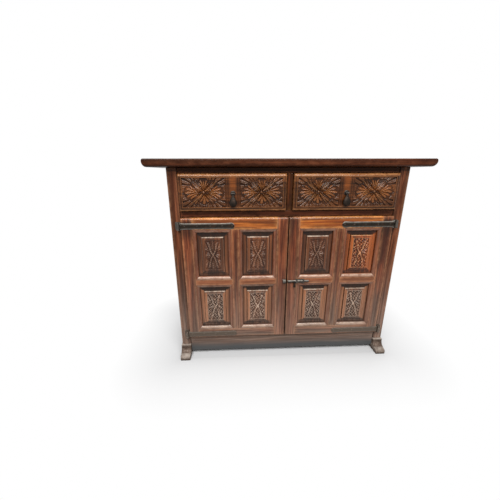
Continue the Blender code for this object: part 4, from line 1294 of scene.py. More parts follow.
@dataclass
class Drawer:
    """A drawer with a carved front: two rosettes on sunk grounds, and a tablet with incised lines."""

    side: str
    edge_width: float = 14 * MM
    edge_depth: float = 8 * MM
    margin: float = 2.5 * MM
    tablet: float = 62 * MM
    incised: Pair = (19.5, 28)
    sink: float = 4.5 * MM
    relief: float = 4.5 * MM
    pitch: float = 0.95 * MM
    edge_steps: int = 14
    tablet_steps: int = 44

    def build(self) -> None:
        """Build the front and dress the box behind it."""
        name = f"{self.side}_drawer_front"
        low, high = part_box(name)
        out = sorted((abs(low.x), abs(high.x)))
        shape = self.front(out, (low.z, high.z), (low.y, high.y), name).mirrored(SIDES[self.side])
        place(f"{self.side}_drawer_carved_front", shape, f"{self.side}_drawer", CARVED, Slot.WORN, name)
        for part in ("inner_side", "outer_side"):
            dress(f"{self.side}_drawer_{part}", INNER_Y)
        for part in ("back", "bottom"):
            dress(f"{self.side}_drawer_{part}", INNER_X)

    def front(self, out: Floats, z: Floats, y: Floats, name: str) -> Surface:
        """The carved front as a height field.

        The depth is the edge rounding, plus the sink of the grounds, less the relief of the rosettes, plus
        the incised lines of the tablet. Wear follows the high places and grime the low ones. The top edge has
        a painted highlight and the bottom edge a painted reflection of the floor, and a painted shade line
        and a painted light line stand for a fillet between the edge and the grounds.

        Args:
            out: Limits along the front.
            z: Limits up the front.
            y: Face and back of the front.
            name: Name that sets the figure.

        Returns:
            The closed surface.
        """
        edge = self.edge_width + self.margin
        centre = (out[0] + out[1]) / 2
        half = self.tablet / 2
        grounds = ((out[0] + edge, centre - half), (centre + half, out[1] - edge))
        rise = (z[0] + edge, z[1] - edge)
        carve = max(2, round((grounds[0][1] - grounds[0][0]) / self.pitch))
        along = stations(
            (out[0], grounds[0][0], self.edge_steps),
            (*grounds[0], carve),
            (grounds[0][1], grounds[1][0], self.tablet_steps),
            (*grounds[1], carve),
            (grounds[1][1], out[1], self.edge_steps),
        )
        up = stations(
            (z[0], rise[0], self.edge_steps),
            (*rise, round((rise[1] - rise[0]) / self.pitch)),
            (rise[1], z[1], self.edge_steps),
        )
        a, b = np.meshgrid(along, up)
        inset = np.minimum.reduce([a - out[0], out[1] - a, b - z[0], z[1] - b])
        seed = seed_of(name)
        depth = eased(inset, self.edge_width, self.edge_depth)
        depth += 0.1 * MM * (1 + ripple(a, b, seed)) * smooth(inset, 0, 9 * MM)
        # Painted highlight, tinted warm, on the top edge; painted reflection of the floor on the bottom edge;
        # a painted light line and a painted shade line where a fillet would be.
        top_highlight = smooth(b, z[1] - 13 * MM, z[1] - 8 * MM)
        foot_reflection = 1 - smooth(b, z[0] + 6 * MM, z[0] + 9 * MM)
        fillet = bump(inset, self.edge_width + 0.5 * MM, 1.2 * MM)
        rim = 1 - smooth(inset, 2 * MM, 7 * MM)
        wear = np.maximum.reduce([0.9 * top_highlight, 0.9 * foot_reflection, 0.4 * fillet, 0.25 * rim])
        grime = 0.8 * bump(inset, self.edge_width - 3.5 * MM, 1.4 * MM) * (1 - top_highlight)
        warmth = 0.6 * top_highlight
        v = (b - (rise[0] + rise[1]) / 2) / MM
        tall = (rise[1] - rise[0]) / 2 / MM
        for low, high in grounds:
            u = (a - (low + high) / 2) / MM
            width = (high - low) / 2 / MM
            ground = smooth(np.minimum(width - np.abs(u), tall - np.abs(v)), 0, 1.4)
            stretch = 1 + 0.02 * math.sin(seed + 40 * low)
            sway = (1.2 * np.sin(v / 9 + seed), 1.2 * np.sin(u / 8 + seed))
            height, raised = Relief.rosette(u * stretch + sway[0], v + sway[1], width, tall)
            depth += ground * (self.sink - self.relief * height)
            wear = np.maximum(wear * (1 - ground), 0.5 * ground * smooth(height, 0.55, 0.95))
            grime = np.maximum(grime * (1 - ground), 0.85 * ground * (1 - smooth(height, 0.02, 0.36)))
            warmth = np.maximum(warmth * (1 - ground), 0.32 * ground * raised)
        u = np.abs(a - centre) / MM
        for line in self.incised:
            cut = bump(u, line, 1.2) * smooth(inset / MM, 15, 17)
            depth += 1.3 * MM * cut
            grime = np.maximum(grime, 0.8 * cut)
        warmth = np.maximum(warmth, 0.6 * smooth(18 - u, 0, 12) * smooth(v, -20, 20))
        masks = {"wear": wear, "grime": grime, "warmth": warmth}
        return slab(along, up, depth, y[0], y[1] - y[0], Facing.FRONT, Grain.ALONG_X, seed, **masks)


@dataclass
class DropPull:
    """A drop pull of forged iron: a scalloped plate with ears and a pin, and a pear-shaped drop."""

    side: str
    plate_radius: float = 11 * MM
    plate_thickness: float = 3 * MM
    scallops: int = 16
    pin_radius: float = 1.8 * MM
    play: float = 0.3 * MM
    eye_radius: float = 4.8 * MM
    eye_width: float = 7 * MM
    ear_thickness: float = 2.5 * MM
    drop_radius: float = 15.5 * MM
    drop_length: float = 54 * MM
    flatness: float = 0.45

    def build(self) -> None:
        """Build the plate on the drawer and the drop on its own body."""
        low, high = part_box(f"{self.side}_pull_drop")
        plate_low, plate_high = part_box(f"{self.side}_pull_plate")
        pin = (abs(low.x + high.x) / 2, (low.y + high.y) / 2, (plate_low.z + plate_high.z) / 2)
        for part, shape, body in (
            ("plate", self.plate(pin, plate_high.y), f"{self.side}_drawer"),
            ("drop", self.drop(pin), f"{self.side}_pull"),
        ):
            name, node = f"{self.side}_pull_forged_{part}", f"{self.side}_pull_{part}"
            place(name, shape.mirrored(SIDES[self.side]), body, BLACKED, Slot.IRON, node)

    def plate(self, pin: Floats, face: float) -> Surface:
        """The plate: a domed rosette whose rim swells and shrinks sixteen times, with two ears and a pin.

        Args:
            pin: Middle of the pin.
            face: Depth of the back of the plate.

        Returns:
            The closed shells.
        """
        x, y, z = pin
        r, t = self.plate_radius, self.plate_thickness
        profile = np.array([[1, 0], [1, 0.3], [0.93, 0.5], [0.72, 0.6], [0.6, 0.95], [0.0, 1]])
        angles = np.linspace(0, 2 * math.pi, 48, endpoint=False)
        wave = 1 - 0.06 * np.cos(self.scallops / 2 * angles) ** 2
        radius = profile[:, :1] * r * np.where(profile[:, :1] > 0.7, wave, 1)
        depth = np.repeat(face - t * profile[:, 1:], len(angles), axis=1)
        rings = np.stack([x + radius * np.cos(angles), depth, z + radius * np.sin(angles)], axis=2)
        shape = swept(rings, Grain.ALONG_X, x, 0.1)
        inner = self.eye_width / 2 + 0.5 * MM
        outer = inner + self.ear_thickness
        ear = self.pin_radius + 1.0 * MM
        root = face - t / 2
        nose = arc((y, z), (-ear, ear), 90, -90, 10)
        outline = np.concatenate([nose, [[root, z - ear], [root, z + ear]]])
        for low, high in ((x - outer, x - inner), (x + inner, x + outer)):
            shape += extruded(outline, 0, low, high, 0.4 * MM, Grain.ALONG_X, "ear")
        shank = rod(self.pin_radius, outer + 0.5 * MM, 0.8 * self.pin_radius, 0.4 * MM)
        return shape + turned(shank, pin, 0, 16)

    def drop(self, pin: Floats) -> Surface:
        """The drop: an eye round the pin over a slim neck that swells to a round foot, flattened in depth.

        The radius grows as a sine to the power 1.5 from the neck to the bulge and closes as a quarter circle.
        A thin collar marks the neck.

        Args:
            pin: Middle of the pin.

        Returns:
            The closed shells.
        """
        bore = self.pin_radius + self.play
        eye = bushing((bore, self.eye_radius), self.eye_width / 2, 0.5 * MM, pin, 0, pin[0], 0.2)
        neck = self.eye_width / 3
        top = -(self.pin_radius + self.eye_radius) / 2 - self.play
        bulge = -self.drop_length + self.drop_radius
        share = np.linspace(0, 1, 16)
        swell = neck + (self.drop_radius - neck) * np.sin(math.pi / 2 * share) ** 1.5
        swell += 0.9 * MM * bump(share, 0.16, 0.05)
        body = np.stack([swell, top + (bulge - top) * share], axis=1)
        foot = arc((0, bulge), (self.drop_radius, -self.drop_radius), 8, 90, 9)
        foot[-1, 0] = 0
        profile = np.concatenate([[[0, top]], body, foot])
        return eye + turned(profile, pin, 2, 28, self.flatness, 0.04)


@dataclass(frozen=True)
class Carving:
    """How a panel is carved and rubbed, in shares from 0 to 1.

    Attributes:
        pierced: How deep the drilled eyes are.
        rubbed: How pale the proud places are.
        margin_warmth: How orange the upright margins are.
        hollow_wax: How dark the hollows are.
    """

    pierced: float
    rubbed: float
    margin_warmth: float
    hollow_wax: float


DRILLED = Carving(0.9, 0.85, 0.9, 0.8)
WAXED = Carving(0.0, 0.27, 0.12, 1.0)


@dataclass
class Opening:
    """One opening of a door: a mitred moulding round a fielded panel with a carved ground."""

    out: Pair
    rise: Pair
    face: float
    name: str
    carving: Carving
    sill_warmth: float
    head_warmth: float
    mould_width: float = 15.5 * MM
    mould_depth: float = 11 * MM
    quirk: float = 1 * MM
    sunk_line: float = 0.4 * MM
    lip: float = 1.5 * MM
    groove: float = 6 * MM
    groove_depth: float = 7 * MM
    door: float = 28 * MM
    hairline: float = 0.12 * MM
    tongue: float = 6.7 * MM
    flat: float = 17 * MM
    step_width: float = 3 * MM
    step: float = 6.8 * MM
    slope: float = 10 * MM
    recess: float = 4 * MM
    border: float = 2.5 * MM
    ground_wall: float = 1.6 * MM
    sink: float = 3.4 * MM
    relief: float = 3.6 * MM
    pitch: float = 0.72 * MM

    def profile(self) -> Array:
        """Section of the moulding as (inset, depth) points: an ovolo, the groove for the panel and the back.

        Returns:
            The points in order.
        """
        w = self.mould_width
        bottom = self.quirk + self.mould_depth
        groove = bottom + self.lip
        tuck, far = w - self.groove_depth, groove + self.groove
        rest = [[w, groove], [tuck, groove], [tuck, far], [w, far], [w, self.door], [0, self.door]]
        return np.concatenate([arc((0, bottom), (w, self.sunk_line - bottom), 90, 0, 16), rest])

    def moulding(self) -> Surface:
        """The moulding: its section carried along the four sides, with a hairline at each mitre.

        Along a side, a point of the section at an inset runs from that inset to the same inset at the far
        end, so the ends lie on the diagonals.

        Returns:
            Four closed shells.
        """
        section = self.profile()
        share = np.linspace(0, 1, 9)[:, None]
        inset, drop = section[:, 0][None], section[:, 1][None]
        bottom = self.quirk + self.mould_depth
        x, z = self.out, self.rise
        wide, tall = x[1] - x[0], z[1] - z[0]
        # Corner, direction, inward direction, length, wear and painted highlight, grime and painted shade,
        # and warmth of the sill, sides and head.
        sides = (
            ((x[0], z[0]), (1, 0), (0, 1), wide, 0.9, 0.0, self.sill_warmth),
            ((x[1], z[0]), (0, 1), (-1, 0), tall, 0.15, 0.22, 0.3),
            ((x[1], z[1]), (-1, 0), (0, -1), wide, 0.55, 0.22, self.head_warmth),
            ((x[0], z[1]), (0, -1), (1, 0), tall, 0.15, 0.22, 0.3),
        )
        shells = []
        for n, (corner, run, inward, length, wear, grime, warmth) in enumerate(sides):
            seed = seed_of(self.name) + n
            along = inset + self.hairline + share * (length - 2 * inset - 2 * self.hairline)
            sag = 0.15 * MM * ripple(along, inset, seed) * (drop < bottom)
            rings = np.stack(
                [
                    corner[0] + run[0] * along + inward[0] * inset,
                    self.face + drop + sag,
                    corner[1] + run[1] * along + inward[1] * inset,
                ],
                axis=2,
            )
            grain = Grain.ALONG_X if run[0] else Grain.ALONG_Z
            shell = swept(rings, grain, seed_of(self.name) + 1.3 * n)
            depth = shell.points[:, 1] - self.face
            off = (shell.points[:, [0, 2]] - corner) @ inward
            line = 0.75 * (1 - smooth(np.abs(off), 0.6 * MM, 2.2 * MM))
            tuck = smooth(depth, bottom - 2.2 * MM, bottom)
            # The wear paints a highlight along the ovolo's crest, strongest on the sill, which faces up; the
            # grime paints an even shade over the sides and head.
            shell.masks["wear"] = wear * bump(depth, 3.5 * MM, 3.5 * MM)
            shell.masks["grime"] = np.maximum.reduce([tuck, line, np.full_like(line, grime)])
            shell.masks["warmth"][:] = warmth
            shells.append(shell)
        return sum(shells[1:], shells[0])

    def panel(self) -> Surface:
        """The panel as a height field: tongue, flat margin, rounded step, slope, border and carved ground.

        The depth follows the inset from the nearest side through these, less the relief of the carving.

        Returns:
            The closed surface.
        """
        start = self.mould_width - self.tongue
        step_low = self.mould_width + self.flat
        step_high = step_low + self.step_width
        slope_high = step_high + self.slope
        ground = slope_high + self.border
        plane = self.quirk + self.mould_depth + self.lip + 0.3 * MM
        nose = arc((step_high, plane), (-self.step_width, -self.step), 0, 90, 7)
        knots = np.concatenate([[start], nose[:, 0], [slope_high, ground, ground + self.ground_wall]])
        levels = np.concatenate([[plane], nose[:, 1], [self.recess, self.recess, self.recess + self.sink]])
        lines = np.concatenate(
            [
                [start, self.mould_width - 0.5 * MM, self.mould_width + 2 * MM],
                [step_low - 3 * MM, step_low - 1 * MM],
                nose[:, 0],
                np.linspace(step_high, slope_high, 9)[1:],
                ground + np.array([-1.0, 0, 0.8]) * MM,
            ]
        )
        along, up = (
            np.concatenate(
                [
                    low + lines,
                    np.arange(low + ground + self.ground_wall, high - ground - 1.0 * MM, self.pitch),
                    high - lines[::-1],
                ]
            )
            for low, high in (self.out, self.rise)
        )
        a, b = np.meshgrid(along, up)
        above, below = self.rise[1] - b, b - self.rise[0]
        inset = np.minimum.reduce([a - self.out[0], self.out[1] - a, below, above])
        depth = np.interp(inset, knots, levels)
        width = ((self.out[1] - self.out[0]) / 2 - ground) / MM
        tall = ((self.rise[1] - self.rise[0]) / 2 - ground) / MM
        u = (a - sum(self.out) / 2) / MM
        v = (b - sum(self.rise) / 2) / MM
        seed = seed_of(self.name)
        carving = self.carving
        inside = (inset - ground) / MM
        on = smooth(inside, 0.5, 1.6)
        stretch, shift = 1 + 0.05 * math.sin(3 * seed), 1.2 * math.sin(5 * seed)
        height = Relief.saltire(u * stretch, v + shift, width, tall, carving.pierced)
        height = height * smooth(inside, 0.4, 1.8)
        depth -= self.relief * height * on
        depth += 0.08 * MM * (1 + ripple(a, b, seed)) * smooth(inset, step_high, slope_high)

        head, foot = inset == above, inset == below
        arris = bump(inset, step_high - 0.5 * MM, 2.2 * MM)
        crest = bump(inset, slope_high + 1.2 * MM, 1.4 * MM)
        fleck = 0.4 - 0.4 * np.cos(v / 1.6 + 1.7 * np.sin(u / 3.1 + seed))
        start_rub = 0.4 + 0.1 * carving.pierced
        proud = (1 - (1 - carving.pierced) * fleck) * on * smooth(height, start_rub, start_rub + 0.4)
        # Painted highlight on the step's arris, much stronger on the head, which faces up.
        lit = (0.15 + 1.05 * head) * arris
        wear = np.maximum.reduce([lit, (carving.rubbed - 0.2) * crest, carving.rubbed * proud])

        upright = ~head * ~foot * (1 - smooth(inset, slope_high, ground))
        upright = upright * smooth(inset, self.mould_width, self.mould_width + 4 * MM)
        warmth = np.maximum(carving.margin_warmth * upright, 0.2 * proud)

        tuck = 1 - smooth(inset, self.mould_width, self.mould_width + 3 * MM)
        # Painted shade: over the head margin, half as much over the foot margin, and on the slope below the
        # field.
        shade = (head + 0.5 * foot) * (1 - smooth(inset, step_low - 1 * MM, step_low + 1 * MM))
        under = foot * (1 - smooth(inset, slope_high - 4 * MM, slope_high)) * (1 - arris)
        quirk = bump(inset, step_low, 1.6 * MM)
        hollow = carving.hollow_wax * on * (1 - smooth(height, 0.04, 0.4))
        rim = bump(inside, 0, 0.9)
        grime = np.maximum.reduce([tuck, 0.9 * quirk, 0.9 * shade, 0.55 * under, hollow, 0.4 * rim])
        thickness = plane + self.groove - 0.6 * MM
        masks = {"wear": wear, "grime": grime, "warmth": warmth}
        return slab(along, up, depth, self.face, thickness, Facing.FRONT, Grain.ALONG_Z, seed, **masks)


@dataclass(frozen=True)
class Member:
    """Limits of a frame member's solid: out from the meeting line, in height and in depth."""

    out: Pair
    rise: Pair
    depth: Pair


@dataclass
class Door:
    """A framed door: stiles and rails as worn boards, and four openings with mouldings and panels."""

    side: str
    mould_width: float = 15.5 * MM
    arris: float = 0.5 * MM
    top_round: Pair = (16 * MM, 6 * MM)
    foot_round: Pair = (2.5 * MM, 2.5 * MM)
    meeting_round: Pair = (4 * MM, 1.5 * MM)
    gap: float = 0.1 * MM
    members: dict[str, Member] = field(default_factory=dict)

    def build(self) -> None:
        """Build the frame, then the openings from the frame's inner edges."""
        body = f"{self.side}_door"
        for part in ("hinge_stile", "meeting_stile", "top_rail", "mid_rail", "bottom_rail", "muntin"):
            low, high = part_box(f"{body}_{part}")
            out = sorted((abs(low.x), abs(high.x)))
            self.members[part] = Member(tuple(out), (low.z, high.z), (low.y, high.y))
        m = self.members
        meeting, hinge = self.bared(m["meeting_stile"].out[1], -1), self.bared(m["hinge_stile"].out[0], 1)
        muntin = (self.bared(m["muntin"].out[0], 1), self.bared(m["muntin"].out[1], -1))
        sill, head = self.bared(m["bottom_rail"].rise[1], -1), self.bared(m["top_rail"].rise[0], 1)
        mid = (self.bared(m["mid_rail"].rise[0], 1), self.bared(m["mid_rail"].rise[1], -1))
        whole = m["hinge_stile"].rise
        stiles = (meeting, hinge)
        sharp = Ease.even(self.arris)
        crowned, footed = replace(sharp, top=self.top_round), replace(sharp, bottom=self.foot_round)
        upright = replace(crowned, bottom=self.foot_round)
        closing = replace(upright, start=self.meeting_round)
        for part, out, rise, run, finish, ease in (
            ("hinge_stile", (hinge, m["hinge_stile"].out[1]), whole, Grain.ALONG_Z, DOOR, upright),
            ("meeting_stile", (m["meeting_stile"].out[0], meeting), whole, Grain.ALONG_Z, DOOR, closing),
            ("top_rail", stiles, (head, whole[1]), Grain.ALONG_X, HONEY, crowned),
            ("bottom_rail", stiles, (whole[0], sill), Grain.ALONG_X, DOOR, footed),
            ("muntin", muntin, (sill, head), Grain.ALONG_Z, DOOR, sharp),
        ):
            self.member(part, out, rise, run, finish, ease)
        columns = {"meeting": (meeting, muntin[0]), "hinge": (muntin[1], hinge)}
        self.mid_rail(columns.values(), mid, sharp)
        rows = {"lower": (sill, mid[0], 0.0, 0.3), "upper": (mid[1], head, 0.35, 0.25)}
        for level, (bottom, top, sill_warmth, head_warmth) in rows.items():
            for where, out in columns.items():
                name = f"{body}_{level}_{where}"
                ruddy = name == "right_door_upper_hinge"
                carving = DRILLED if ruddy or level == "lower" else WAXED
                face = m["hinge_stile"].depth[0]
                opening = Opening(out, (bottom, top), face, name, carving, sill_warmth, head_warmth)
                moulding = opening.moulding().mirrored(SIDES[self.side])
                panel = opening.panel().mirrored(SIDES[self.side])
                place(f"{name}_moulding", moulding, body, MOULDED, Slot.WALNUT)
                finish = RUDDY if ruddy else FIELDED
                place(f"{name}_carved_panel", panel, body, finish, Slot.WALNUT, f"{name}_panel")

    def bared(self, edge: float, way: int) -> float:
        """Edge of a member without its moulding: moved by the moulding's width, less the gap of the joint."""
        return edge + way * self.mould_width - way * self.gap

    def member(self, part: str, out: Pair, rise: Pair, run: Grain, finish: WoodFinish, ease: Ease) -> None:
        """Stand a worn board in the place of a frame member.

        Args:
            part: Which member.
            out: Limits out from the meeting line.
            rise: Limits in height.
            run: Axis of the grain.
            finish: Its finish.
            ease: Roundings of its edges.
        """
        name = f"{self.side}_door_{part}"
        y = self.members[part].depth
        low = (out[0] + self.gap, y[0], rise[0] + (self.gap if part != "hinge_stile" else 0))
        high = (out[1] - self.gap, y[1], rise[1])
        shape = worn_board(low, high, Facing.FRONT, run, ease, name).mirrored(SIDES[self.side])
        if part == "hinge_stile":
            # A darker band from 18 to 115 mm below the stile's top.
            down = rise[1] - shape.points[:, 2]
            below_top = smooth(down, 8 * MM, 18 * MM) * (1 - smooth(down, 60 * MM, 115 * MM))
            shape.masks["grime"] = 0.7 * below_top
        if part == "meeting_stile":
            # Painted shade of the meeting gap: darkest over its first 4 mm, fading out over 34 mm.
            inward = np.abs(shape.points[:, 0]) - out[0]
            near, far = 1 - smooth(inward, 0.5 * MM, 4 * MM), 1 - smooth(inward, 4 * MM, 34 * MM)
            shape.masks["grime"] = np.maximum(0.9 * near, 0.35 * far)
        slot = Slot.WORN if finish is HONEY else Slot.WALNUT
        place(f"{name}_worn", shape, f"{self.side}_door", finish, slot, name)

    def mid_rail(self, stretches: Sequence[Pair], rise: Pair, ease: Ease) -> None:
        """The mid rail: it shows on both sides of the muntin, which is halved over it.

        Args:
            stretches: Limits out of the stretches by the meeting stile and by the hinge stile.
            rise: Limits in height.
            ease: Roundings of the edges.
        """
        name = f"{self.side}_door_mid_rail"
        y = self.members["mid_rail"].depth
        parts = []
        for n, out in enumerate(stretches):
            low = (out[0] + self.gap, y[0], rise[0])
            high = (out[1] - self.gap, y[1], rise[1])
            parts.append(worn_board(low, high, Facing.FRONT, Grain.ALONG_X, ease, f"{name}_{n}"))
        shape = (parts[0] + parts[1]).mirrored(SIDES[self.side])
        shape.masks["warmth"][:] = 0.4
        place(f"{name}_worn", shape, f"{self.side}_door", DOOR, Slot.WORN, name)


@dataclass
class StrapHinge:
    """A forged strap hinge: strap, eye and nails on the door, plate and lugs on the case."""

    side: str
    level: str
    thickness: float = 2.5 * MM
    strap_half: float = 12.5 * MM
    tip_swell: float = 1 * MM
    flare_length: float = 26 * MM
    eye_radius: float = 6 * MM
    eye_height: float = 16 * MM
    pin_radius: float = 3 * MM
    play: float = 0.3 * MM
    plate_width: float = 21 * MM
    plate_corner: float = 5 * MM
    nails: tuple[float, ...] = (0.022, 0.075, 0.13, 0.18, 0.222)
    nail_radius: float = 3.6 * MM
    small_nail_radius: float = 2.6 * MM

    def build(self) -> None:
        """Build the strap on the door and the plate on the case."""
        low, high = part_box(f"{self.side}_{self.level}_strap")
        plate_low, plate_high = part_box(f"{self.side}_{self.level}_hinge_plate")
        axis_out = max(abs(low.x), abs(high.x)) - self.eye_radius
        pin = (axis_out, low.y + self.eye_radius, (low.z + high.z) / 2)
        length = axis_out - min(abs(low.x), abs(high.x))
        strap = self.strap(pin, length, (high.z - low.z) / 2)
        plate = self.plate(pin, plate_high.y, (plate_high.z - plate_low.z) / 2)
        for part, shape, body in (("strap", strap, f"{self.side}_door"), ("hinge_plate", plate, "case")):
            node = f"{self.side}_{self.level}_{part}"
            place(f"{node}_forged", shape.mirrored(SIDES[self.side]), body, IRON, Slot.IRON, node)

    def nail(self, out: float, y: float, z: float, radius: float) -> Surface:
        """A nail head: a low dome of four rings, with its foot sunk in what it holds.

        Args:
            out: Its place out from the meeting line.
            y: Depth of the face that it stands on.
            z: Its height.
            radius: Its radius.

        Returns:
            The closed surface.
        """
        head = arc((0, 0), (radius, 0.55 * radius), 0, 90, 4)
        head[-1, 0] = 0
        profile = np.concatenate([[[0, -0.8 * MM], [radius, -0.8 * MM]], head])
        return turned(profile * (1, -1), (out, y, z), 1, 12, wear=0.08)

    def strap(self, pin: Floats, length: float, flare: float) -> Surface:
        """The strap: its half height flares at the knuckle, tapers slowly and ends in a swelling round tip.

        Across the strap the face is hammered and its edges are chamfered. The eye is a tube round the pin.

        Args:
            pin: Middle of the pin.
            length: Length from the pin to the tip.
            flare: Half height at the knuckle.

        Returns:
            The closed shells.
        """
        axis_out, axis_y, z = pin
        start = self.eye_radius + 1.8 * MM
        flared = start + self.flare_length
        tip = self.strap_half + self.tip_swell
        root = self.eye_height / 2 - 0.3 * MM
        centre = length - tip
        swelling, swollen = length - 3 * tip, centre - 0.2 * tip
        s = np.concatenate(
            [
                [self.pin_radius, start - 0.05 * MM],
                start + self.flare_length * (1 - np.cos(np.linspace(0, math.pi / 2, 8))),
                np.linspace(flared, swelling, 40)[1:],
                np.linspace(swelling, swollen, 6)[1:],
                centre + (tip - 0.1 * MM) * np.sin(np.linspace(0, math.pi / 2, 12)),
            ]
        )
        half = flare + (self.strap_half - flare) * dome(1 - np.clip((s - start) / self.flare_length, 0, 1))
        half = np.where(s < start, root, half)
        half = half - smooth(s, flared, swelling) * self.tip_swell / 2
        half = half + smooth(s, swelling, swollen) * (tip - half)
        rounded = np.sqrt(np.clip(tip**2 - (s - centre) ** 2, (0.15 * tip) ** 2, None))
        half = np.where(s > centre, rounded, half)
        across = np.array([-1, -0.94, -0.8, -0.4, 0, 0.4, 0.8, 0.94, 1.0])
        chamfer = 0.8 * MM * smooth(np.abs(across), 0.78, 1.0)
        rear = axis_y + self.eye_radius - 0.3 * MM
        out, w = np.meshgrid(axis_out - s, across, indexing="ij")
        height = z + half[:, None] * w
        hammer = 0.25 * MM * ripple(3 * out, 3 * height, z * 40)
        front = np.stack([out, rear - self.thickness + chamfer[None] + hammer, height], axis=2)
        back = np.stack([out, np.full_like(out, rear), height], axis=2)
        edge = 0.9 * smooth(np.abs(across), 0.7, 1.0)
        # On the upper straps the top edge is paler still: a painted highlight.
        if self.level == "upper":
            edge = np.maximum(edge, 0.9 * smooth(across, 0.7, 0.9))
        wear = np.tile(np.broadcast_to(edge, out.shape).ravel(), 2)
        shape = between(front, back, Grain.ALONG_X, z, wear=wear)
        bore = self.pin_radius + self.play
        shape += bushing((bore, self.eye_radius), self.eye_height / 2, 0.6 * MM, pin, 2, z, 0.3)
        for nail in self.nails:
            shape += self.nail(axis_out - nail - start / 2, rear - self.thickness, z, self.nail_radius)
        return shape

    def plate(self, pin: Floats, rear: float, half: float) -> Surface:
        """The fixed plate: eased corners, two lugs that hold the pin, and two nails.

        Args:
            pin: Middle of the pin.
            rear: Depth of the plate's back.
            half: Half height of the plate.

        Returns:
            The closed shells.
        """
        axis_out, axis_y, z = pin
        r, c = self.eye_radius, self.plate_corner
        inner = axis_out - r
        outer = inner + self.plate_width
        low, high = z - half, z + half
        front = rear - self.thickness
        outline = np.concatenate(
            [
                [[inner, high]],
                arc((outer - c, high - c), (c, c), 90, 0, 5),
                arc((outer - c, low + c), (c, c), 0, -90, 5),
                [[inner, low]],
            ]
        )
        shape = extruded(outline, 1, front, rear, 0.6 * MM, Grain.ALONG_X, f"{self.side}{self.level}")
        root = front + 1 * MM
        nose = arc((axis_out, axis_y), (r, -r), 0, 180, 12)
        lug = np.concatenate([nose, [[axis_out - r, root], [axis_out + r, root]]])
        gap = self.eye_height / 2 + self.play
        for start, end in ((z + gap, high - 0.3 * MM), (low + 0.3 * MM, z - gap)):
            shape += extruded(lug, 2, start, end, 0.5 * MM, Grain.ALONG_X, "lug")
        shape += turned(rod(self.pin_radius, half, 0.7 * self.pin_radius, 0.8 * MM), pin, 2, 16)
        for height in (z - 0.58 * half, z + 0.58 * half):
            shape += self.nail(outer - 4.5 * MM, front, height, self.small_nail_radius)
        return shape


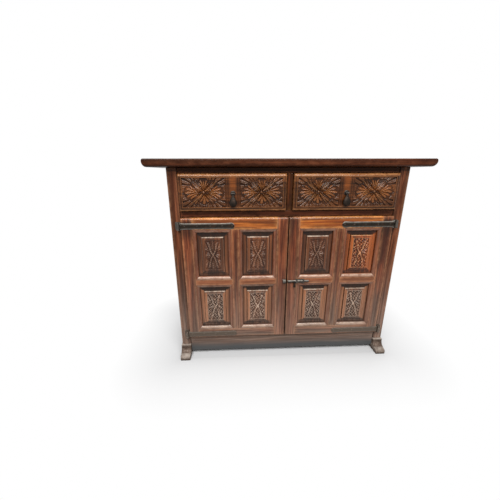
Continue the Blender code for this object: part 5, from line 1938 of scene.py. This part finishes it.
@dataclass
class Latch:
    """The slide bolt: a plate with two staples, a bar with a leaf handle and a keeper on the other door."""

    sheet: float = 2 * MM
    clip: float = 1.5 * MM
    play: float = 0.5 * MM
    bar_half: float = 5 * MM
    bar_depth: float = 6 * MM
    chamfer: float = 1.8 * MM
    end_margin: float = 3 * MM
    staple_length: float = 6 * MM
    staple_wire: float = 2 * MM
    staple_chamfer: float = 0.9 * MM
    handle_out: float = 35 * MM
    handle_half: float = 5 * MM

    def build(self) -> None:
        """Build the plate, the keeper and the bolt."""
        low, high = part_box("latch_plate")
        z, rear = (low.z + high.z) / 2, high.y
        bar_rear = rear - self.sheet - self.play
        bar_front = bar_rear - self.bar_depth
        plate = self.plate(low.x, high.x, z, (high.z - low.z) / 2, rear)
        for start in (low.x + self.end_margin, high.x - self.end_margin - self.staple_length):
            plate += self.staple(start, start + self.staple_length, rear, bar_front, z)
        place("latch_plate_forged", plate, "right_door", BLACKED, Slot.IRON, "latch_plate")
        low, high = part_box("latch_keeper")
        keeper = self.plate(low.x, high.x, z, (high.z - low.z) / 2, rear)
        keeper += self.staple(low.x + 1 * MM, high.x - 1 * MM, rear, bar_front, z)
        # The keeper's upper half is paler: a painted highlight.
        keeper.masks["wear"] = smooth(keeper.points[:, 2], z, z + self.bar_half)
        place("latch_keeper_forged", keeper, "left_door", BLACKED, Slot.IRON, "latch_keeper")
        low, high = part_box("latch_bolt")
        bolt = self.bolt(low, high, bar_front, bar_rear, z)
        place("latch_bolt_forged", bolt, "bolt", BLACKED, Slot.IRON, "latch_bolt")

    def plate(self, start: float, end: float, z: float, half: float, rear: float) -> Surface:
        """A thin plate with clipped corners.

        Args:
            start: One end.
            end: The other end.
            z: Height of its middle.
            half: Half its height.
            rear: Depth of its back.

        Returns:
            The closed surface.
        """
        c, low, high = self.clip, z - half, z + half
        lower = [[start + c, low], [end - c, low], [end, low + c], [end, high - c]]
        upper = [[end - c, high], [start + c, high], [start, high - c], [start, low + c]]
        outline = np.array(lower + upper)
        return extruded(outline, 1, rear - self.sheet, rear, 0.4 * MM, Grain.ALONG_X, "latch_plate")

    def staple(self, start: float, end: float, rear: float, front: float, z: float) -> Surface:
        """A square staple over the bar, its section carried along the bar.

        Args:
            start: One end along the bar.
            end: The other end.
            rear: Depth of the plate's back; its feet end in the middle of the plate.
            front: Depth of the bar's face.
            z: Height of the bar's middle.

        Returns:
            The closed surface.
        """
        inner = self.bar_half + self.play
        outer = inner + self.staple_wire
        root = rear - self.sheet / 2
        roof = front - self.play
        crown = roof - self.staple_wire
        c = self.staple_chamfer
        legs = [[root, -outer], [root, -inner], [roof, -inner], [roof, inner], [root, inner], [root, outer]]
        top = [[crown + c, outer], [crown, outer - c], [crown, c - outer], [crown + c, -outer]]
        outline = np.array(legs + top) + (0, z)
        return extruded(outline, 0, start, end, 0.4 * MM, Grain.ALONG_X, "staple")

    def bolt(
        self, low: Floats, high: Floats, front: float, rear: float, z: float
    ) -> Surface:
        """The bar, with a leaf-shaped handle that hangs from it.

        Args:
            low: Lowest corner of the bolt.
            high: Highest corner of the bolt.
            front: Depth of the bar's face.
            rear: Depth of the bar's back.
            z: Height of the bar's middle.

        Returns:
            The closed shells.
        """
        c, half = self.chamfer, self.bar_half
        flat = [[front + c, -half], [rear, -half], [rear, half], [front + c, half]]
        section = np.array(flat + [[front, half - c], [front, c - half]]) + (0, z)
        bar = extruded(section, 0, low.x, high.x, 0.8 * MM, Grain.ALONG_X, "bar")
        # The bar's upper half is paler: a painted highlight.
        bar.masks["wear"] = smooth(bar.points[:, 2], z, z + half)
        out, wide = self.handle_out, self.handle_half
        leaf = np.concatenate(
            [
                [[out + 0.5 * wide, z + half / 2], [out + 0.55 * wide, z - half]],
                arc((out, low.z + wide), (wide, -wide), -25, 205, 20),
                [[out - 0.55 * wide, z - half], [out - 0.5 * wide, z + half / 2]],
            ]
        )
        handle = extruded(leaf, 1, low.y, front + 1.5 * MM, 1.0 * MM, Grain.ALONG_X, "handle")
        handle.masks["wear"][:] = 0.05
        return bar + handle


@dataclass
class Studio:
    """Pale floor, white surroundings, soft light from the front and above, and the camera.

    The shadow is whole over its core, given as half width and half depth, and fades over its reach beyond.
    Each lamp has a name, a place, an aim, a size and a power in watts. The camera's angles are in degrees.
    """

    floor_half: float = 6.0
    shadow_core: Pair = (0.5, 0.2)
    shadow_reach: float = 0.32
    ambient: float = 0.22
    lamps: tuple = (
        ("key", (0.1, -2.05, 1.78), (0.1, -0.15, 0.55), (2.6, 0.26), 42.0),
        ("overhead", (-0.25, -1.5, 2.2), (0.0, -0.2, 0.4), (2.4, 0.6), 66.0),
        ("fill", (1.6, 2.4, 2.0), (0, 0, 0.4), (2.0, 2.0), 40.0),
    )
    lens: float = 18.045
    camera_place: tuple[float, float, float] = (-0.2136, -1.2262, 0.8691)
    pitch: float = 17.260
    yaw: float = -2.579
    roll: float = -0.169

    def build(self) -> None:
        """Build the floor, the world, the lamps and the camera."""
        self.floor()
        self.world()
        for lamp in self.lamps:
            self.lamp(*lamp)
        self.camera()
        bpy.context.scene.view_settings.view_transform = "Standard"

    def seen(self, tree: bpy.types.NodeTree) -> bpy.types.NodeSocket:
        """Whether a ray comes straight from the camera, a mirror or a glass.

        Args:
            tree: Tree that asks.

        Returns:
            A socket that is 1 for such rays.
        """
        add = partial(add_node, tree)
        path = add("ShaderNodeLightPath", {}, {})
        most = {"operation": "MAXIMUM"}
        first = {0: path.outputs["Is Camera Ray"], 1: path.outputs["Is Glossy Ray"]}
        both = add(MATH, most, first).outputs[0]
        return add(MATH, most, {0: both, 1: path.outputs["Is Transmission Ray"]}).outputs[0]

    def floor(self) -> None:
        """The floor: matt and pale, plain white away from the object, and greyer in the light it returns."""
        h = self.floor_half
        mesh = bpy.data.meshes.new("floor")
        mesh.from_pydata([(-h, -h, 0), (h, -h, 0), (h, h, 0), (-h, h, 0)], [], [(0, 1, 2, 3)])
        floor = bpy.data.objects.new("floor", mesh)
        bpy.context.scene.collection.objects.link(floor)
        made = bpy.data.materials.new("studio_floor")
        made.use_nodes = True
        tree = made.node_tree
        tree.nodes.clear()
        add = partial(add_node, tree)
        beyond = add("ShaderNodeTexCoord", {}, {}).outputs["Object"]
        core = (*self.shadow_core, 0)
        for operation, value in (("ABSOLUTE", (0, 0, 0)), ("SUBTRACT", core), ("MAXIMUM", (0, 0, 0))):
            inputs = {0: beyond, 1: value}
            beyond = add("ShaderNodeVectorMath", {"operation": operation}, inputs).outputs[0]
        far = add("ShaderNodeVectorMath", {"operation": "LENGTH"}, {0: beyond}).outputs["Value"]
        limits = {"Value": far, "From Min": 0.0, "From Max": self.shadow_reach}
        near = add("ShaderNodeMapRange", {}, limits).outputs[0]
        blend = add(MATH, {"operation": "SQRT"}, {0: near}).outputs[0]
        share = add(MATH, TIMES, {0: blend, 1: self.seen(tree)}).outputs[0]
        returned = add("ShaderNodeLightPath", {}, {}).outputs["Is Diffuse Ray"]
        tones = {0: returned, 6: linear("#BEBEBE"), 7: linear("#A09A94")}
        tone = add("ShaderNodeMix", COLOURS, tones).outputs[2]
        matt = add("ShaderNodeBsdfDiffuse", {}, {"Color": tone}).outputs[0]
        white = add("ShaderNodeEmission", {}, {"Color": WHITE, "Strength": 1.0}).outputs[0]
        mixed = add("ShaderNodeMixShader", {}, {0: share, 1: matt, 2: white}).outputs[0]
        add("ShaderNodeOutputMaterial", {}, {"Surface": mixed})
        mesh.materials.append(made)

    def world(self) -> None:
        """White to the camera, and a soft even light on the object."""
        world = bpy.data.worlds.new("white_room")
        bpy.context.scene.world = world
        world.use_nodes = True
        tree = world.node_tree
        tree.nodes.clear()
        add = partial(add_node, tree)
        even = {"Color": linear("#F4F7FF"), "Strength": self.ambient}
        soft = add("ShaderNodeBackground", {}, even).outputs[0]
        white = add("ShaderNodeBackground", {}, {"Color": WHITE, "Strength": 1.0}).outputs[0]
        mixed = add("ShaderNodeMixShader", {}, {0: self.seen(tree), 1: soft, 2: white}).outputs[0]
        add("ShaderNodeOutputWorld", {}, {"Surface": mixed})

    def lamp(self, name: str, spot: Floats, aim: Floats, size: Pair, power: float) -> None:
        """A soft lamp with a rectangular face.

        Args:
            name: Name of the lamp.
            spot: Where it hangs.
            aim: What it points at.
            size: Width and height of its face.
            power: Its power in watts.
        """
        data = bpy.data.lights.new(name, "AREA")
        data.shape = "RECTANGLE"
        data.size, data.size_y = size
        data.energy = power
        lamp = bpy.data.objects.new(name, data)
        towards = np.subtract(aim, spot)
        flat = math.hypot(towards[0], towards[1])
        lamp.rotation_euler = (math.atan2(flat, -towards[2]), 0, math.atan2(-towards[0], towards[1]))
        lamp.location = spot
        bpy.context.scene.collection.objects.link(lamp)

    def camera(self) -> None:
        """The camera at the photograph's place: turned, tipped down and rolled a little."""
        data = bpy.data.cameras.new("camera")
        data.sensor_width = 36.0
        data.lens = self.lens
        data.clip_start = 0.01
        camera = bpy.data.objects.new("camera", data)
        camera.location = self.camera_place
        camera.rotation_euler = (math.radians(90 - self.pitch), 0, math.radians(self.yaw))
        tipped = camera.rotation_euler.to_matrix()
        camera.rotation_euler = (tipped @ Matrix.Rotation(math.radians(self.roll), 3, "Z")).to_euler()
        bpy.context.scene.collection.objects.link(camera)
        bpy.context.scene.camera = camera


def main() -> None:
    """Build the studio and the credenza, from the case to the iron."""
    logging.basicConfig(level=logging.INFO, format="%(name)s: %(message)s")
    Studio().build()
    Case().build()
    for side in SIDES:
        Drawer(side).build()
        DropPull(side).build()
        Door(side).build()
        for level in ("upper", "lower"):
            StrapHinge(side, level).build()
    Latch().build()


if __name__ == "__main__":
    main()
